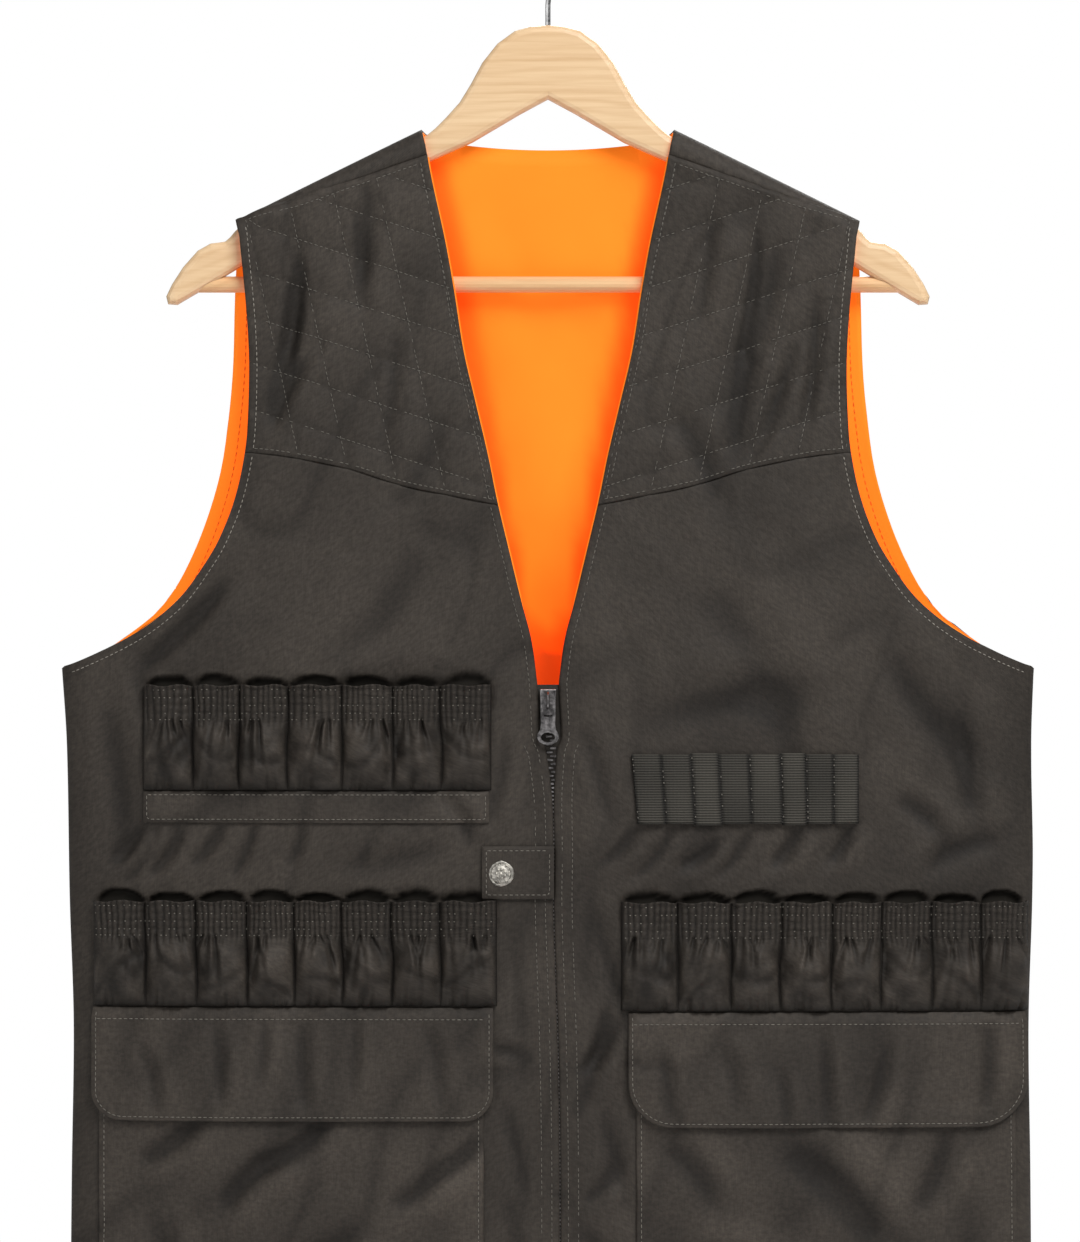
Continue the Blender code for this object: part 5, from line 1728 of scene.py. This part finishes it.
class GILET_OT_zip(bpy.types.Operator):
    """The zip's tape and teeth"""

    bl_idname = "gilet.zip"
    bl_label = "Zip"

    def execute(self, context):
        drops = dense(455 * MM, 860 * MM, 4 * MM)[:, None]
        share = dense(-1.0, 1.0, 0.12)[None, :]
        x = read(ZIP_LINE, drops, "x") + share * TAPE_HALF
        height = -np.broadcast_to(drops, x.shape)
        along = along_at(x, height)
        points = laid(x, along, np.full(x.shape, TAPE_OUT))
        panel("zip_chain", points, (x, along), TAPE_WALL, "zip_tape")
        bm = bmesh.new()
        for index in range(int((TEETH_FOOT - TEETH_TOP) / TOOTH_PITCH)):
            drop = (TEETH_TOP + TOOTH_PITCH * index) * MM
            hand = LEFT if index % 2 else RIGHT
            centre_x = float(read(ZIP_LINE, drop, "x")) + hand * MM
            point = laid(np.array(centre_x), along_at(centre_x, -drop), np.array(TEETH_OUT))
            made = bmesh.ops.create_cube(bm, size=1.0)["verts"]
            tooth = TOOTH if drop > UNDER_SLIDER else TOOTH_IN_SLIDER
            bmesh.ops.scale(bm, vec=[size * MM for size in tooth], verts=made)
            for corner in made:
                if corner.co.x * hand < 0:
                    corner.co.z *= TOOTH_TAPER
            bmesh.ops.translate(bm, vec=Vector(point), verts=made)
        bmesh.ops.bevel(bm, geom=bm.edges[:], offset=0.25 * MM, segments=1, profile=0.5,
                        affect="EDGES", material=-1)
        add("zip_teeth", mesh_of("zip_teeth", bm, soft=False), "gunmetal")
        return {"FINISHED"}


class GILET_OT_metal_and_wood(bpy.types.Operator):
    """Finishes of the hanger, slider, pull and press stud"""

    bl_idname = "gilet.metal_and_wood"
    bl_label = "Metal and wood"

    def execute(self, context):
        finishes = {
            # The bar's finish has a painted reflection of the orange lining
            "hanger_arms": "pine", "hanger_bar": "bar_pine_painted_reflection", "hanger_hook": "bright_wire",
            "zip_slider": "gunmetal", "zip_pull": "gunmetal", "snap_cap": "nickel",
        }
        for node, name in finishes.items():
            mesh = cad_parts[node].data
            mesh.materials.clear()
            mesh.materials.append(finish_of(name))
        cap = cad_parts["snap_cap"]
        corners = np.array([cap.matrix_world @ Vector(corner) for corner in cap.bound_box])
        low, high = corners.min(axis=0), corners.max(axis=0)
        middle = Vector(((low[0] + high[0]) / 2, low[1], (low[2] + high[2]) / 2))
        bm = bmesh.new()
        flat = Matrix.Translation(middle) @ Matrix.Rotation(math.pi / 2, 4, "X")
        for count, radius, size, sunk in SNAP_BEADS:
            for index in range(count):
                turn = 2 * math.pi * (index + 0.5) / count
                place = Vector((radius * math.cos(turn), radius * math.sin(turn), -sunk)) * MM
                spot = flat @ Matrix.Translation(place)
                bmesh.ops.create_icosphere(bm, subdivisions=2, radius=size * MM, matrix=spot)
        add("snap_beading", mesh_of("snap_beading", bm), "nickel")
        return {"FINISHED"}


class GILET_OT_stage(bpy.types.Operator):
    """Floor, light and camera"""

    bl_idname = "gilet.stage"
    bl_label = "Stage"

    def execute(self, context):
        studio = context.scene.gilet_studio
        bm = bmesh.new()
        bmesh.ops.create_grid(bm, x_segments=2, y_segments=2, size=FLOOR_HALF)
        bmesh.ops.translate(bm, vec=FLOOR_PLACE, verts=bm.verts[:])
        floor = placed("floor", mesh_of("floor", bm, soft=False))
        floor.data.materials.append(finish_of("studio_floor"))
        world = bpy.data.worlds.new("white_surroundings")
        light = Nodes(world)
        plain = light.tree.nodes["Background"]
        light.put(plain.inputs["Color"], WHITE)
        seen = Signal(light, plain.outputs["Background"])
        lit = light.node("ShaderNodeBackground", {}, {"Color": WHITE, "Strength": studio.sky})
        direct = light.node("ShaderNodeLightPath", {}, output="Is Camera Ray")
        chosen = light.node("ShaderNodeMixShader", {}, {0: direct, 1: lit, 2: seen})
        light.put(light.tree.nodes["World Output"].inputs["Surface"], chosen)
        context.scene.world = world
        for name, place, size, power in LAMPS:
            lamp = bpy.data.lights.new(name, "AREA")
            lamp.size = size
            lamp.energy = power
            item = placed(name, lamp)
            item.location = place
            item.rotation_euler = (LIT - Vector(place)).to_track_quat("-Z", "Y").to_euler()
        camera = bpy.data.cameras.new("camera")
        camera.sensor_width = SENSOR
        camera.lens = SENSOR * studio.distance / (PHOTO_HEIGHT * PIXEL)
        camera.clip_end = 50.0
        viewer = placed("camera", camera)
        viewer.location = (
            (PHOTO_MIDDLE[0] - CENTRE_PIXEL) * PIXEL,
            -FRONT_DEPTH - studio.distance,
            -WOOD_TOP - (PHOTO_MIDDLE[1] - WOOD_PIXEL) * PIXEL,
        )
        viewer.rotation_euler = (math.pi / 2, 0.0, 0.0)
        context.scene.camera = viewer
        context.scene.view_settings.view_transform = "Standard"
        return {"FINISHED"}


OPERATORS = (
    GILET_OT_yokes,
    GILET_OT_fronts,
    GILET_OT_backs,
    GILET_OT_front_linings,
    GILET_OT_loops,
    GILET_OT_patches,
    GILET_OT_stitching,
    GILET_OT_zip,
    GILET_OT_metal_and_wood,
    GILET_OT_stage,
)


class GILET_PT_sidebar(bpy.types.Panel):
    """Sizes, colours and pieces of the gilet"""

    bl_idname = "GILET_PT_sidebar"
    bl_label = "Hunting gilet"
    bl_space_type = "VIEW_3D"
    bl_region_type = "UI"
    bl_category = "Gilet"

    def draw(self, context):
        for settings in ("gilet_cloth", "gilet_hanger", "gilet_studio"):
            group = getattr(context.scene, settings)
            box = self.layout.box()
            for name in group.bl_rna.properties.keys():
                if name not in ("rna_type", "name"):
                    box.prop(group, name)
        for operator in OPERATORS:
            self.layout.operator(operator.bl_idname)


SETTINGS = {
    "gilet_cloth": GiletCloth,
    "gilet_hanger": GiletHanger,
    "gilet_studio": GiletStudio,
}


def register():
    for name, group in SETTINGS.items():
        bpy.utils.register_class(group)
        setattr(bpy.types.Scene, name, bpy.props.PointerProperty(type=group))
    for item in (*OPERATORS, GILET_PT_sidebar):
        bpy.utils.register_class(item)


def unregister():
    for item in reversed((*OPERATORS, GILET_PT_sidebar)):
        bpy.utils.unregister_class(item)
    for name, group in SETTINGS.items():
        delattr(bpy.types.Scene, name)
        bpy.utils.unregister_class(group)


def main():
    """Makes every piece."""
    register()
    for operator in OPERATORS:
        group, name = operator.bl_idname.split(".")
        getattr(getattr(bpy.ops, group), name)()


if __name__ == "__main__":
    main()
